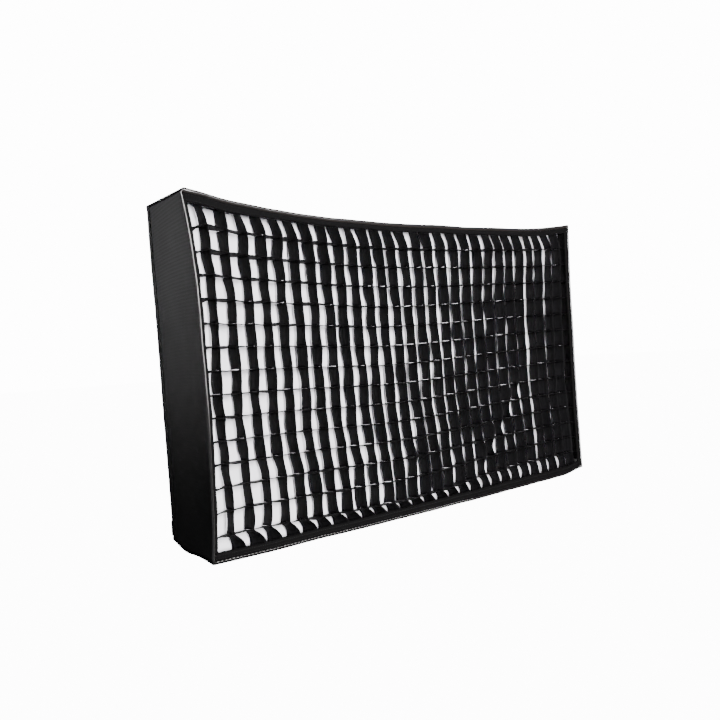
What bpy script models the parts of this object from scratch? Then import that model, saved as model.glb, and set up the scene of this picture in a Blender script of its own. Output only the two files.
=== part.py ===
"""Strip softbox: a shallow straight-sided fabric light box with a fabric egg-crate grid over a diffuser.

A light mat on a four-armed frame closes its back, and a bracket with a tilting head holds it on a stand.
Metres, +Z up. The origin is at the mouth of the stand socket, the box faces -Y and its width runs along X.
"""

from math import atan2, cos, floor, hypot, pi, sin

import bmesh
import bpy
from mathutils import Vector
from mathutils.geometry import delaunay_2d_cdt

# ---------------------------------------------------------------- driving dimensions
GAP = 0.0003
BOX_WIDTH = 0.98
BOX_HEIGHT = 0.60
BOX_DEPTH = 0.18

# Stand bracket
PIVOT = Vector((0.0, 0.0, 0.090))
RECEIVER_RADIUS = 0.017
RECEIVER_HEIGHT = 0.052
RECEIVER_EAR_FOOT = 0.040
STUD_BORE_RADIUS = 0.0082
STUD_BORE_DEPTH = 0.045
EAR_INNER = 0.011
EAR_THICKNESS = 0.008
EAR_RADIUS = 0.0152
BOLT_RADIUS = 0.004
BOLT_HEAD_RADIUS = 0.0072
BOLT_HEAD_HEIGHT = 0.006
BOLT_REACH = 0.014
HOLE_CLEARANCE = 0.0003
WASHER_RADIUS = 0.0085
WASHER_THICKNESS = 0.0015
CLAMP_HEIGHT = 0.022
CLAMP_BOSS_RADIUS = 0.009
CLAMP_BOSS_START = 0.012
CLAMP_BOSS_END = 0.030
CLAMP_COLLAR_RADIUS = 0.0075
PAD_LENGTH = 0.002
KNOB_FRONT = CLAMP_BOSS_END + 0.0045
KNOB_RADIUS = 0.0175
KNOB_LOBES = 6
KNOB_LOBE_DEPTH = 0.0018
KNOB_THICKNESS = 0.013
LEVER_LENGTH = 0.046
LEVER_LEAN = 0.28
LEVER_HUB_RADIUS = 0.009
LEVER_HUB_LENGTH = 0.015
LEVER_TIP_RADIUS = 0.0066

# Hub and frame
FLANGE_BACK = -0.0770
FLANGE_THICKNESS = 0.004
FLANGE_RADIUS = 0.032
KNUCKLE_WEB_WIDTH = 0.018
KNUCKLE_WEB_HEIGHT = 0.024
PLATE_THICKNESS = 0.003
PLATE_RADIUS = 0.062
SCREW_OFFSET = 0.024
SCREW_RADIUS = 0.0024
SCREW_HEAD_RADIUS = 0.0045
SCREW_HEAD_HEIGHT = 0.0028
PIN_CIRCLE = 0.046
PIN_RADIUS = 0.003
PIN_HEAD_RADIUS = 0.0052
ARM_WIDTH = 0.022
ARM_THICKNESS = 0.010
ARM_WALL = 0.002
ARM_START = 0.034
SOCKET_SIDE = 0.026
SOCKET_WALL = 0.0025
SOCKET_DEPTH = 0.044
SLEEVE_LENGTH = 0.056
STRUT_RADIUS = 0.003
STRUT_INSET = 0.0105
STRUT_BORE_DEPTH = 0.024
STRUT_TIP_RADIUS = 0.0048
SLIP_FIT = 0.0002

# Fabric
PANEL_THICKNESS = 0.0010
LINING_THICKNESS = 0.0005
HEM_THICKNESS = 0.0012
TAPE_THICKNESS = 0.0009
BAND_THICKNESS = 0.0008
PIPING_RADIUS = 0.0009
TOP_SAG = 0.026
LEFT_BOW = 0.010
RIGHT_BOW = 0.005
BOTTOM_BOW = 0.001
SLACK_POWER = 2.8
SLACK_CHORDS = 12
RECESS_DEPTH = 0.056
RING_CORNER = 0.0006
LIFT_OUT_CORNER = 0.036

# Grid and diffuser
GRID_COLUMNS = 29
GRID_ROWS = 15
COLUMN_PITCH = 0.0329
ROW_PITCH = 0.0384
GRID_CENTRE_DROP = 0.007
GRID_DEPTH = 0.026
HEM_WIDTHS = {"left": 0.005, "right": 0.013, "top": 0.018, "bottom": 0.014}
STRIP_THICKNESS = 0.0008
DIFFUSER_THICKNESS = 0.0008
DIFFUSER_BAND = 0.020

# Light mat
MAT_EDGE_GAP = 0.0035
MAT_CHAMFER = 0.060
MAT_THICKNESS = 0.0015
MAT_FACE_INSET = 0.012
MAT_FACE_THICKNESS = 0.0012
LED_ROWS = 12
LED_ROW_HALF = 0.420
LED_ROW_WIDTH = 0.010
LED_RAIL_WIDTH = 0.008
LED_THICKNESS = 0.0012
REAR_HEM_WIDTH = 0.026

# Power inlet, on the back of the mat
INLET_X = -0.448
INLET_TOP = -0.150
INLET_BOTTOM = -0.190
INLET_WIDTH = 0.026
INLET_DEPTH = 0.0125
INLET_BORE_RADIUS = 0.0042
INLET_BORE_DEPTH = 0.016
INLET_PIN_RADIUS = 0.0009
INLET_PIN_LENGTH = 0.010

# ---------------------------------------------------------------- worked out from them
HALF_WIDTH = BOX_WIDTH / 2
HALF_HEIGHT = BOX_HEIGHT / 2
MIDDLE = PIVOT.z

REAR_PLATE_Y = FLANGE_BACK - FLANGE_THICKNESS - GAP
ARM_Y = REAR_PLATE_Y - PLATE_THICKNESS - GAP
FRONT_PLATE_Y = ARM_Y - ARM_THICKNESS - GAP
PIN_HEAD_FRONT = FRONT_PLATE_Y - PLATE_THICKNESS - GAP
REAR_Y = PIN_HEAD_FRONT - GAP
FRONT_Y = REAR_Y - BOX_DEPTH
MAT_Y = REAR_Y - HEM_THICKNESS - GAP
PANEL_REAR_Y = MAT_Y
PANEL_FRONT_Y = FRONT_Y + HEM_THICKNESS + 2 * GAP
RECESS_Y = FRONT_Y + RECESS_DEPTH

LINING_OFFSET = PANEL_THICKNESS + GAP
TAPE_OFFSET = LINING_OFFSET + LINING_THICKNESS + GAP
BAND_OFFSET = TAPE_OFFSET + TAPE_THICKNESS + GAP

GRID_BACK_Y = PANEL_FRONT_Y + GRID_DEPTH
DIFFUSER_Y = GRID_BACK_Y + 0.002
SOCKET_FRONT_Y = ARM_Y + 0.0023 - SOCKET_DEPTH
ARM_ANGLE = atan2(HALF_HEIGHT - STRUT_INSET, HALF_WIDTH - STRUT_INSET)
CORNERS = {
    "upper_left": (-1, 1),
    "upper_right": (1, 1),
    "lower_left": (-1, -1),
    "lower_right": (1, -1),
}
SIDES = {
    "left": ("x", -1, LEFT_BOW),
    "right": ("x", 1, RIGHT_BOW),
    "top": ("z", 1, TOP_SAG),
    "bottom": ("z", -1, BOTTOM_BOW),
}
TURN_TO = {"X": (0, pi / 2, 0), "Y": (pi / 2, 0, 0)}
THROUGH = 0.060


# ---------------------------------------------------------------- scene, materials and placing
def clear_scene():
    for item in list(bpy.data.objects):
        bpy.data.objects.remove(item, do_unlink=True)


def new_collection(name):
    collection = bpy.data.collections.new(name)
    bpy.context.scene.collection.children.link(collection)
    return collection


def new_material(name, colour, roughness, metallic=0.0):
    material = bpy.data.materials.new(name)
    material.use_nodes = True
    shader = material.node_tree.nodes["Principled BSDF"]
    shader.inputs["Base Color"].default_value = (*colour, 1.0)
    shader.inputs["Roughness"].default_value = roughness
    shader.inputs["Metallic"].default_value = metallic
    return material


def make_materials():
    return {
        "black_fabric": new_material("black_fabric", (0.022, 0.021, 0.023), 0.85),
        "grid_fabric": new_material("grid_fabric", (0.010, 0.010, 0.012), 0.90),
        "hem_webbing": new_material("hem_webbing", (0.014, 0.013, 0.015), 0.80),
        "piping_grey": new_material("piping_grey", (0.45, 0.44, 0.46), 0.60),
        "silver_lining": new_material("silver_lining", (0.72, 0.73, 0.75), 0.35, 0.8),
        "hook_tape": new_material("hook_tape", (0.020, 0.020, 0.022), 0.95),
        "white_diffuser": new_material("white_diffuser", (0.80, 0.78, 0.82), 0.75),
        "mat_fabric": new_material("mat_fabric", (0.030, 0.030, 0.033), 0.80),
        "led_sheet": new_material("led_sheet", (0.70, 0.70, 0.68), 0.55),
        "led_yellow": new_material("led_yellow", (0.75, 0.60, 0.20), 0.40),
        "black_nylon": new_material("black_nylon", (0.020, 0.020, 0.022), 0.50),
        "black_metal": new_material("black_metal", (0.025, 0.025, 0.027), 0.45, 0.3),
        "zinc_steel": new_material("zinc_steel", (0.60, 0.60, 0.58), 0.35, 1.0),
        "brass": new_material("brass", (0.70, 0.52, 0.25), 0.35, 1.0),
        "grey_fibreglass": new_material("grey_fibreglass", (0.10, 0.10, 0.11), 0.40),
        "rubber": new_material("rubber", (0.018, 0.018, 0.018), 0.90),
    }


def place(item, location, parent=None, rotation=(0, 0, 0)):
    """Puts an object at a place in the world, under an empty that is turned nowhere."""
    item.rotation_euler = rotation
    item.location = Vector(location)
    if parent is not None:
        item.parent = parent
        item.location = Vector(location) - parent.location
    return item


def joint_empty(name, location):
    empty = bpy.data.objects.new(name, None)
    empty.empty_display_size = 0.02
    empty.location = location
    MODEL.objects.link(empty)
    return empty


def mesh_object(name, bm, slot=None, collection=None):
    """Turns a bmesh into an object, in the model's collection unless another is named."""
    mesh = bpy.data.meshes.new(name)
    bm.to_mesh(mesh)
    bm.free()
    item = bpy.data.objects.new(name, mesh)
    (collection or MODEL).objects.link(item)
    if slot:
        mesh.materials.append(MATERIALS[slot])
    return item


# ---------------------------------------------------------------- shapes
def block(name, size, slot=None, collection=None):
    bm = bmesh.new()
    bmesh.ops.create_cube(bm, size=1.0)
    bmesh.ops.scale(bm, vec=Vector(size), verts=bm.verts)
    return mesh_object(name, bm, slot, collection)


def cylinder(name, radius, length, slot=None, collection=None, sides=32, end_radius=None):
    bm = bmesh.new()
    bmesh.ops.create_cone(
        bm,
        cap_ends=True,
        segments=sides,
        radius1=radius,
        radius2=radius if end_radius is None else end_radius,
        depth=length,
    )
    item = mesh_object(name, bm, slot, collection)
    smooth_round(item)
    return item


def turned(name, profile, slot, steps=32, closed=False):
    """A lathe shape about Z, its profile given as radius and height from top to bottom."""
    bm = bmesh.new()
    points = [bm.verts.new((radius, 0, height)) for radius, height in profile]
    for first, second in zip(points, points[1:]):
        bm.edges.new((first, second))
    if closed:
        bm.edges.new((points[-1], points[0]))
    item = mesh_object(name, bm, slot)
    screw = item.modifiers.new("Screw", "SCREW")
    screw.steps = steps
    screw.render_steps = steps
    screw.use_merge_vertices = True
    screw.merge_threshold = 0.00001
    screw.use_smooth_shade = False
    return item


def ring_profile(inner, outer, length):
    half = length / 2
    return [(outer, half), (outer, -half), (inner, -half), (inner, half)]


def smooth_round(item):
    item.data.shade_smooth()
    item.data.set_sharp_from_angle(angle=pi / 5)


def circle(centre_x, centre_y, radius, sides):
    turn = 2 * pi / sides
    return [(centre_x + radius * cos(turn * n), centre_y + radius * sin(turn * n)) for n in range(sides)]


def outline(name, loops, thickness, slot):
    """A flat plate from closed outlines: the first is its rim and the others are holes."""
    curve = bpy.data.curves.new(name, "CURVE")
    curve.dimensions = "2D"
    curve.fill_mode = "BOTH"
    curve.extrude = thickness / 2
    for loop in loops:
        spline = curve.splines.new("POLY")
        spline.points.add(len(loop) - 1)
        for point, (across, up) in zip(spline.points, loop):
            point.co = (across, up, 0, 1)
        spline.use_cyclic_u = True
    curve.materials.append(MATERIALS[slot])
    item = bpy.data.objects.new(name, curve)
    MODEL.objects.link(item)
    return item


def lattice(name, rim, holes, thickness, slot):
    """A flat sheet with many narrow bars, filled without slivers and then thickened."""
    loops = [rim] + holes
    points = [Vector(point) for loop in loops for point in loop]
    faces = []
    start = 0
    for loop in loops:
        faces.append(list(range(start, start + len(loop))))
        start += len(loop)
    places, _, triangles, _, _, inside_of = delaunay_2d_cdt(points, [], faces, 1, 1e-7)
    bm = bmesh.new()
    corners = [bm.verts.new((point.x, point.y, 0)) for point in places]
    for triangle, inside in zip(triangles, inside_of):
        if set(inside) == {0}:
            bm.faces.new([corners[n] for n in triangle])
    item = mesh_object(name, bm, slot)
    modifier = item.modifiers.new("Solidify", "SOLIDIFY")
    modifier.thickness = thickness
    modifier.offset = 0.0
    return item


def rod(name, run, radius, slot, resolution=2, closed=False):
    """A round bar or cord along a run of points."""
    curve = bpy.data.curves.new(name, "CURVE")
    curve.dimensions = "3D"
    curve.bevel_depth = radius
    curve.bevel_resolution = resolution
    curve.use_fill_caps = True
    spline = curve.splines.new("POLY")
    spline.points.add(len(run) - 1)
    for point, place_at in zip(spline.points, run):
        point.co = (*place_at, 1)
    spline.use_cyclic_u = closed
    curve.materials.append(MATERIALS[slot])
    item = bpy.data.objects.new(name, curve)
    MODEL.objects.link(item)
    return item


def boolean(target, tool, operation):
    tool.hide_render = True
    tool.display_type = "WIRE"
    modifier = target.modifiers.new(operation.title(), "BOOLEAN")
    modifier.operation = operation
    modifier.object = tool
    modifier.solver = "EXACT"


def bevel(item, width, segments=1):
    modifier = item.modifiers.new("Bevel", "BEVEL")
    modifier.width = width
    modifier.segments = segments
    modifier.limit_method = "ANGLE"


# ---------------------------------------------------------------- slack fabric
def slack(position, half_length, depth):
    """How far a slack edge dips towards the middle, as short chords so that nested layers stay parallel."""

    def smooth_dip(at):
        return depth * (1 - abs(at / half_length) ** SLACK_POWER)

    chord = 2 * half_length / SLACK_CHORDS
    index = min(floor((position + half_length) / chord), SLACK_CHORDS - 1)
    start = -half_length + index * chord
    part = (position - start) / chord
    return smooth_dip(start) * (1 - part) + smooth_dip(start + chord) * part


def stations(low, high, half_length):
    """Places along an edge: its two ends and every chord's end between them."""
    chord = 2 * half_length / SLACK_CHORDS
    inner = [-half_length + n * chord for n in range(1, SLACK_CHORDS)]
    margin = 0.001
    return [low] + [at for at in inner if low + margin < at < high - margin] + [high]


def slack_fades(depth_y):
    """The slack is whole in the front recess and gone at the rear edge."""
    return min(1.0, max(0.0, (PANEL_REAR_Y - depth_y) / (PANEL_REAR_Y - RECESS_Y)))


def wall_point(side, along, depth_y, offset):
    """A point on one wall of the box, moved in by offset from its outer face."""
    across, sign, dip = SIDES[side]
    half_length = HALF_HEIGHT if across == "x" else HALF_WIDTH
    inward = offset + slack(along, half_length, dip) * slack_fades(depth_y)
    if across == "x":
        return Vector((sign * (HALF_WIDTH - inward), depth_y, MIDDLE + along))
    return Vector((along, depth_y, MIDDLE + sign * (HALF_HEIGHT - inward)))


def add_sheet(bm, alongs, depths, point):
    """One thin open surface, its grid's corners moved to where point puts them."""
    columns, rows = len(alongs) - 1, len(depths) - 1
    made = bmesh.ops.create_grid(bm, x_segments=columns, y_segments=rows, size=1.0)
    for vertex in made["verts"]:
        column = round((vertex.co.x + 1) / 2 * columns)
        row = round((vertex.co.y + 1) / 2 * rows)
        vertex.co = point(alongs[column], depths[row])


def sheet_object(name, bm, thickness, slot):
    bmesh.ops.triangulate(bm, faces=bm.faces, quad_method="FIXED")
    item = mesh_object(name, bm, slot)
    modifier = item.modifiers.new("Solidify", "SOLIDIFY")
    modifier.thickness = thickness
    modifier.offset = 0.0
    modifier.use_even_offset = True
    return item


def half_length_of(side):
    return HALF_HEIGHT if SIDES[side][0] == "x" else HALF_WIDTH


def add_wall_sheet(bm, side, short_by, depths, offset):
    half_length = half_length_of(side)
    reach = half_length - short_by
    alongs = stations(-reach, reach, half_length)
    add_sheet(bm, alongs, depths, lambda along, depth_y: wall_point(side, along, depth_y, offset))


def recess_sides(offset, corner):
    """The front recess's outline, moved in by offset: its sides in turn, counterclockwise from the front."""
    sides = {}
    for side, step in (("bottom", 1), ("right", 1), ("top", -1), ("left", -1)):
        half_length = half_length_of(side)
        reach = half_length - offset - corner
        alongs = stations(-reach, reach, half_length)[::step]
        points = [wall_point(side, along, FRONT_Y, offset) for along in alongs]
        sides[side] = [(at.x, at.z - MIDDLE) for at in points]
    return sides


def recess_rim(offset, corner):
    return sum(recess_sides(offset, corner).values(), [])


def ring_in_recess(name, offset, thickness, corner, front_y, back_y, slot, parent):
    """A band that follows the recess's four walls."""
    loops = [recess_rim(offset, corner), recess_rim(offset + thickness, corner)]
    ring = outline(name, loops, back_y - front_y, slot)
    return place(ring, (0, (front_y + back_y) / 2, MIDDLE), parent, TURN_TO["Y"])


# ---------------------------------------------------------------- stand bracket
def make_stand_receiver():
    receiver = cylinder("stand_receiver", RECEIVER_RADIUS, RECEIVER_HEIGHT, "black_metal")
    place(receiver, (0, 0, RECEIVER_HEIGHT / 2))
    ear_centre = EAR_INNER + EAR_THICKNESS / 2
    web_size = (EAR_THICKNESS - 0.0004, 2 * EAR_RADIUS - 0.0008, PIVOT.z - RECEIVER_EAR_FOOT)
    for side in (-1, 1):
        web = block("ear_web", web_size, None, CUTTERS)
        place(web, (side * ear_centre, 0, (PIVOT.z + RECEIVER_EAR_FOOT) / 2))
        boolean(receiver, web, "UNION")
        eye = cylinder("ear_eye", EAR_RADIUS, EAR_THICKNESS, None, CUTTERS)
        place(eye, (side * ear_centre, 0, PIVOT.z), rotation=TURN_TO["X"])
        boolean(receiver, eye, "UNION")
    boss = cylinder("clamp_boss", CLAMP_BOSS_RADIUS, CLAMP_BOSS_END - CLAMP_BOSS_START, None, CUTTERS)
    place(boss, (0, (CLAMP_BOSS_END + CLAMP_BOSS_START) / 2, CLAMP_HEIGHT), rotation=TURN_TO["Y"])
    boolean(receiver, boss, "UNION")
    below = 0.010
    stud_bore = cylinder("stud_bore", STUD_BORE_RADIUS, STUD_BORE_DEPTH + below, None, CUTTERS)
    place(stud_bore, (0, 0, (STUD_BORE_DEPTH - below) / 2))
    boolean(receiver, stud_bore, "DIFFERENCE")
    hole_radius = BOLT_RADIUS + HOLE_CLEARANCE
    screw_hole = cylinder("screw_hole", hole_radius, THROUGH, None, CUTTERS, 20)
    place(screw_hole, (0, THROUGH / 2, CLAMP_HEIGHT), rotation=TURN_TO["Y"])
    boolean(receiver, screw_hole, "DIFFERENCE")
    bolt_hole = cylinder("bolt_hole", hole_radius, THROUGH, None, CUTTERS, 20)
    place(bolt_hole, PIVOT, rotation=TURN_TO["X"])
    boolean(receiver, bolt_hole, "DIFFERENCE")


def make_tilt_bolt():
    outer = EAR_INNER + EAR_THICKNESS
    chamfer = 0.001
    head_face = outer + WASHER_THICKNESS + 2 * GAP
    head_end = head_face + BOLT_HEAD_HEIGHT
    profile = [
        (0, head_end),
        (BOLT_HEAD_RADIUS - chamfer, head_end),
        (BOLT_HEAD_RADIUS, head_end - chamfer),
        (BOLT_HEAD_RADIUS, head_face),
        (BOLT_RADIUS, head_face),
        (BOLT_RADIUS, -outer - BOLT_REACH),
        (0, -outer - BOLT_REACH),
    ]
    bolt = turned("tilt_bolt", profile, "zinc_steel", 20)
    place(bolt, PIVOT, rotation=(0, -pi / 2, 0))
    washer_middle = outer + GAP + WASHER_THICKNESS / 2
    for name, side in (("left", -1), ("right", 1)):
        ring = ring_profile(BOLT_RADIUS + HOLE_CLEARANCE, WASHER_RADIUS, WASHER_THICKNESS)
        washer = turned("tilt_washer_" + name, ring, "zinc_steel", 20, True)
        place(washer, PIVOT + Vector((side * washer_middle, 0, 0)), rotation=TURN_TO["X"])


def make_clamp():
    """The clamp screw with its knob turns as it feeds in, and the pad in front of it only feeds in."""
    feed = joint_empty("clamp_feed_axis", (0, 0, CLAMP_HEIGHT))
    pad_front = STUD_BORE_RADIUS + 2 * GAP
    pad = cylinder("clamp_pad", BOLT_RADIUS - 0.0002, PAD_LENGTH, "brass", sides=20)
    place(pad, (0, pad_front + PAD_LENGTH / 2, CLAMP_HEIGHT), feed, TURN_TO["Y"])
    screw_front = pad_front + PAD_LENGTH + GAP
    collar = KNOB_FRONT - 0.0015
    chamfer = 0.0008
    profile = [
        (0, -screw_front),
        (BOLT_RADIUS - chamfer, -screw_front),
        (BOLT_RADIUS, -screw_front - chamfer),
        (BOLT_RADIUS, -collar),
        (CLAMP_COLLAR_RADIUS, -collar),
        (CLAMP_COLLAR_RADIUS, -KNOB_FRONT + GAP),
        (0, -KNOB_FRONT + GAP),
    ]
    screw = turned("clamp_screw", profile, "zinc_steel", 20)
    place(screw, (0, 0, CLAMP_HEIGHT), feed, TURN_TO["Y"])
    points = []
    count = KNOB_LOBES * 8
    for n in range(count):
        angle = 2 * pi * n / count
        radius = KNOB_RADIUS + KNOB_LOBE_DEPTH * cos(KNOB_LOBES * angle)
        points.append((radius * cos(angle), radius * sin(angle)))
    knob = outline("clamp_knob", [points], KNOB_THICKNESS, "black_nylon")
    weld = knob.modifiers.new("Weld", "WELD")
    weld.merge_threshold = 0.00001
    bevel(knob, 0.0015)
    place(knob, (0, KNOB_FRONT + KNOB_THICKNESS / 2, CLAMP_HEIGHT), feed, TURN_TO["Y"])


def make_lock_lever():
    """A hub on the tilt bolt's end with a handle that hangs down and leans outwards."""
    axis = joint_empty("lock_lever_axis", PIVOT)
    inner_face = EAR_INNER + EAR_THICKNESS + WASHER_THICKNESS + 2 * GAP
    hub_middle = PIVOT + Vector((inner_face + LEVER_HUB_LENGTH / 2, 0, 0))
    hub_ring = ring_profile(BOLT_RADIUS + HOLE_CLEARANCE, LEVER_HUB_RADIUS, LEVER_HUB_LENGTH)
    lever = turned("lock_lever", hub_ring, "black_nylon", 24, True)
    place(lever, hub_middle, axis, TURN_TO["X"])
    handle_start = 0.0065
    handle_root, handle_end = 0.0042, 0.0052
    along = Vector((sin(LEVER_LEAN), 0, -cos(LEVER_LEAN)))
    length = LEVER_LENGTH - handle_start
    handle = cylinder("lever_handle", handle_root, length, None, CUTTERS, 16, handle_end)
    place(handle, hub_middle + along * (LEVER_LENGTH + handle_start) / 2, rotation=(0, pi - LEVER_LEAN, 0))
    boolean(lever, handle, "UNION")
    bm = bmesh.new()
    bmesh.ops.create_uvsphere(bm, u_segments=16, v_segments=8, radius=LEVER_TIP_RADIUS)
    tip = mesh_object("lever_tip", bm, None, CUTTERS)
    place(tip, hub_middle + along * LEVER_LENGTH)
    boolean(lever, tip, "UNION")
    cap_length = 0.0025
    cap = cylinder("lever_screw", 0.0065, cap_length, "zinc_steel", sides=20)
    cap_middle = inner_face + LEVER_HUB_LENGTH + GAP + cap_length / 2
    place(cap, PIVOT + Vector((cap_middle, 0, 0)), axis, TURN_TO["X"])


# ---------------------------------------------------------------- hub and arms
def make_knuckle(head):
    knuckle = cylinder("tilt_knuckle", EAR_RADIUS - 0.0007, 2 * (EAR_INNER - GAP), "black_metal")
    place(knuckle, PIVOT, head, TURN_TO["X"])
    web_start, web_end = -BOLT_RADIUS - 0.001, FLANGE_BACK - FLANGE_THICKNESS / 2
    web = block("knuckle_web", (KNUCKLE_WEB_WIDTH, web_start - web_end, KNUCKLE_WEB_HEIGHT), None, CUTTERS)
    place(web, (0, (web_start + web_end) / 2, MIDDLE))
    boolean(knuckle, web, "UNION")
    flange = cylinder("knuckle_flange", FLANGE_RADIUS, FLANGE_THICKNESS, None, CUTTERS)
    place(flange, (0, FLANGE_BACK - FLANGE_THICKNESS / 2, MIDDLE), rotation=TURN_TO["Y"])
    boolean(knuckle, flange, "UNION")
    hole = cylinder("knuckle_hole", BOLT_RADIUS + HOLE_CLEARANCE, THROUGH, None, CUTTERS, 20)
    place(hole, PIVOT, rotation=TURN_TO["X"])
    boolean(knuckle, hole, "DIFFERENCE")
    for across, up in screw_places().values():
        drill = cylinder("flange_drill", SCREW_RADIUS + HOLE_CLEARANCE, 0.020, None, CUTTERS, 12)
        place(drill, (across, FLANGE_BACK, MIDDLE + up), rotation=TURN_TO["Y"])
        boolean(knuckle, drill, "DIFFERENCE")


def screw_places():
    """Two screws that clamp the knuckle and both plates, one above and one below the middle."""
    return {"upper": (0, SCREW_OFFSET), "lower": (0, -SCREW_OFFSET)}


def pin_places():
    across, up = PIN_CIRCLE * cos(ARM_ANGLE), PIN_CIRCLE * sin(ARM_ANGLE)
    return {name: (side_x * across, side_z * up) for name, (side_x, side_z) in CORNERS.items()}


def make_hub_plates(head):
    drilled = [circle(x, z, SCREW_RADIUS + HOLE_CLEARANCE, 12) for x, z in screw_places().values()]
    drilled += [circle(x, z, PIN_RADIUS + HOLE_CLEARANCE, 12) for x, z in pin_places().values()]
    for name, back in (("hub_rear_plate", REAR_PLATE_Y), ("hub_front_plate", FRONT_PLATE_Y)):
        plate = outline(name, [circle(0, 0, PLATE_RADIUS, 40)] + drilled, PLATE_THICKNESS, "black_metal")
        place(plate, (0, back - PLATE_THICKNESS / 2, MIDDLE), head, TURN_TO["Y"])


def lathe_set(name, profile, places, slot, head, steps, closed=False):
    """Copies of one turned piece along Y. The profile's heights are distances in front of the pivot."""
    for where, (across, up) in places.items():
        piece = turned(name + "_" + where, profile, slot, steps, closed)
        place(piece, (across, 0, MIDDLE + up), head, TURN_TO["Y"])


def make_hub_fasteners(head):
    screw_front = -FRONT_PLATE_Y + PLATE_THICKNESS
    screw_back = -FLANGE_BACK - GAP
    screw = [
        (0, screw_front),
        (SCREW_RADIUS, screw_front),
        (SCREW_RADIUS, screw_back),
        (SCREW_HEAD_RADIUS, screw_back),
        (SCREW_HEAD_RADIUS, screw_back - SCREW_HEAD_HEIGHT),
        (0, screw_back - SCREW_HEAD_HEIGHT),
    ]
    lathe_set("hub_screw", screw, screw_places(), "zinc_steel", head, 12)
    spacer_front, spacer_back = -ARM_Y + ARM_THICKNESS, -ARM_Y
    spacer = [
        (SCREW_HEAD_RADIUS, spacer_front),
        (SCREW_HEAD_RADIUS, spacer_back),
        (SCREW_RADIUS + HOLE_CLEARANCE, spacer_back),
        (SCREW_RADIUS + HOLE_CLEARANCE, spacer_front),
    ]
    lathe_set("hub_spacer", spacer, screw_places(), "zinc_steel", head, 12, True)
    pin_front, pin_back = -PIN_HEAD_FRONT, -REAR_PLATE_Y - GAP
    front_head, back_head, chamfer = 0.0008, 0.0015, 0.001
    pin = [
        (0, pin_front + front_head),
        (PIN_HEAD_RADIUS, pin_front + front_head),
        (PIN_HEAD_RADIUS, pin_front),
        (PIN_RADIUS, pin_front),
        (PIN_RADIUS, pin_back),
        (PIN_HEAD_RADIUS, pin_back),
        (PIN_HEAD_RADIUS - chamfer, pin_back - back_head),
        (0, pin_back - back_head),
    ]
    lathe_set("arm_pin", pin, pin_places(), "zinc_steel", head, 16)


def corner_centre(side_x, side_z):
    """The middle of a corner socket's block, as a place beside the box's middle."""
    inset = STRUT_INSET + SOCKET_SIDE / 2 - 0.006
    return side_x * (HALF_WIDTH - inset), side_z * (HALF_HEIGHT - inset)


def arm_turn(side_x, side_z):
    """An arm's angle from +X in the upper half, and the rotation that lays +X along the arm."""
    angle = ARM_ANGLE if side_x > 0 else pi - ARM_ANGLE
    return angle, (0, -side_z * angle, 0)


def along_arm(side_x, side_z, distance):
    """A point on an arm's centre line, at a distance from the hub's middle."""
    angle, _ = arm_turn(side_x, side_z)
    return Vector((distance * cos(angle), ARM_Y - ARM_THICKNESS / 2, MIDDLE + side_z * distance * sin(angle)))


def make_arms(head):
    """Rectangular tubes from the hub to the corner sockets, each held by one pin through both walls."""
    length = hypot(*corner_centre(1, 1)) - ARM_START - 0.005
    tube_hollow = (length + 2 * ARM_WALL, ARM_THICKNESS - 2 * ARM_WALL, ARM_WIDTH - 2 * ARM_WALL)
    for name, (side_x, side_z) in CORNERS.items():
        turn = arm_turn(side_x, side_z)[1]
        middle = along_arm(side_x, side_z, ARM_START + length / 2)
        arm = block("arm_" + name, (length, ARM_THICKNESS, ARM_WIDTH), "black_metal")
        place(arm, middle, head, turn)
        hollow = block("tube_hollow", tube_hollow, None, CUTTERS)
        place(hollow, middle, rotation=turn)
        boolean(arm, hollow, "DIFFERENCE")
        drill = cylinder("pin_drill", PIN_RADIUS + HOLE_CLEARANCE, 2 * ARM_THICKNESS, None, CUTTERS, 12)
        place(drill, along_arm(side_x, side_z, PIN_CIRCLE), rotation=TURN_TO["Y"])
        boolean(arm, drill, "DIFFERENCE")


def make_corner_sockets(head):
    """Moulded blocks: a sleeve takes the arm's end, and a bore takes the foot of the corner strut."""
    sleeve_size = (SLEEVE_LENGTH, ARM_THICKNESS + 2 * SOCKET_WALL, ARM_WIDTH + 2 * SOCKET_WALL)
    hollow_size = (SLEEVE_LENGTH, ARM_THICKNESS + 2 * GAP, ARM_WIDTH + 2 * GAP)
    sleeve_at = hypot(*corner_centre(1, 1)) - SLEEVE_LENGTH / 2 + 0.0015
    hollow_at = sleeve_at - 0.006
    before = 0.006
    for name, (side_x, side_z) in CORNERS.items():
        x, z = corner_centre(side_x, side_z)
        turn = arm_turn(side_x, side_z)[1]
        socket = block("corner_socket_" + name, (SOCKET_SIDE, SOCKET_DEPTH, SOCKET_SIDE), "black_nylon")
        place(socket, (x, SOCKET_FRONT_Y + SOCKET_DEPTH / 2, MIDDLE + z), head)
        sleeve = block("arm_sleeve", sleeve_size, None, CUTTERS)
        place(sleeve, along_arm(side_x, side_z, sleeve_at), rotation=turn)
        boolean(socket, sleeve, "UNION")
        hollow = block("arm_hollow", hollow_size, None, CUTTERS)
        place(hollow, along_arm(side_x, side_z, hollow_at), rotation=turn)
        boolean(socket, hollow, "DIFFERENCE")
        bore = cylinder("strut_bore", STRUT_RADIUS + SLIP_FIT, STRUT_BORE_DEPTH + before, None, CUTTERS, 12)
        bore_middle = SOCKET_FRONT_Y + (STRUT_BORE_DEPTH - before) / 2
        place(bore, strut_place(side_x, side_z, bore_middle), rotation=TURN_TO["Y"])
        boolean(socket, bore, "DIFFERENCE")


def strut_place(side_x, side_z, depth_y):
    return (side_x * (HALF_WIDTH - STRUT_INSET), depth_y, MIDDLE + side_z * (HALF_HEIGHT - STRUT_INSET))


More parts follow.
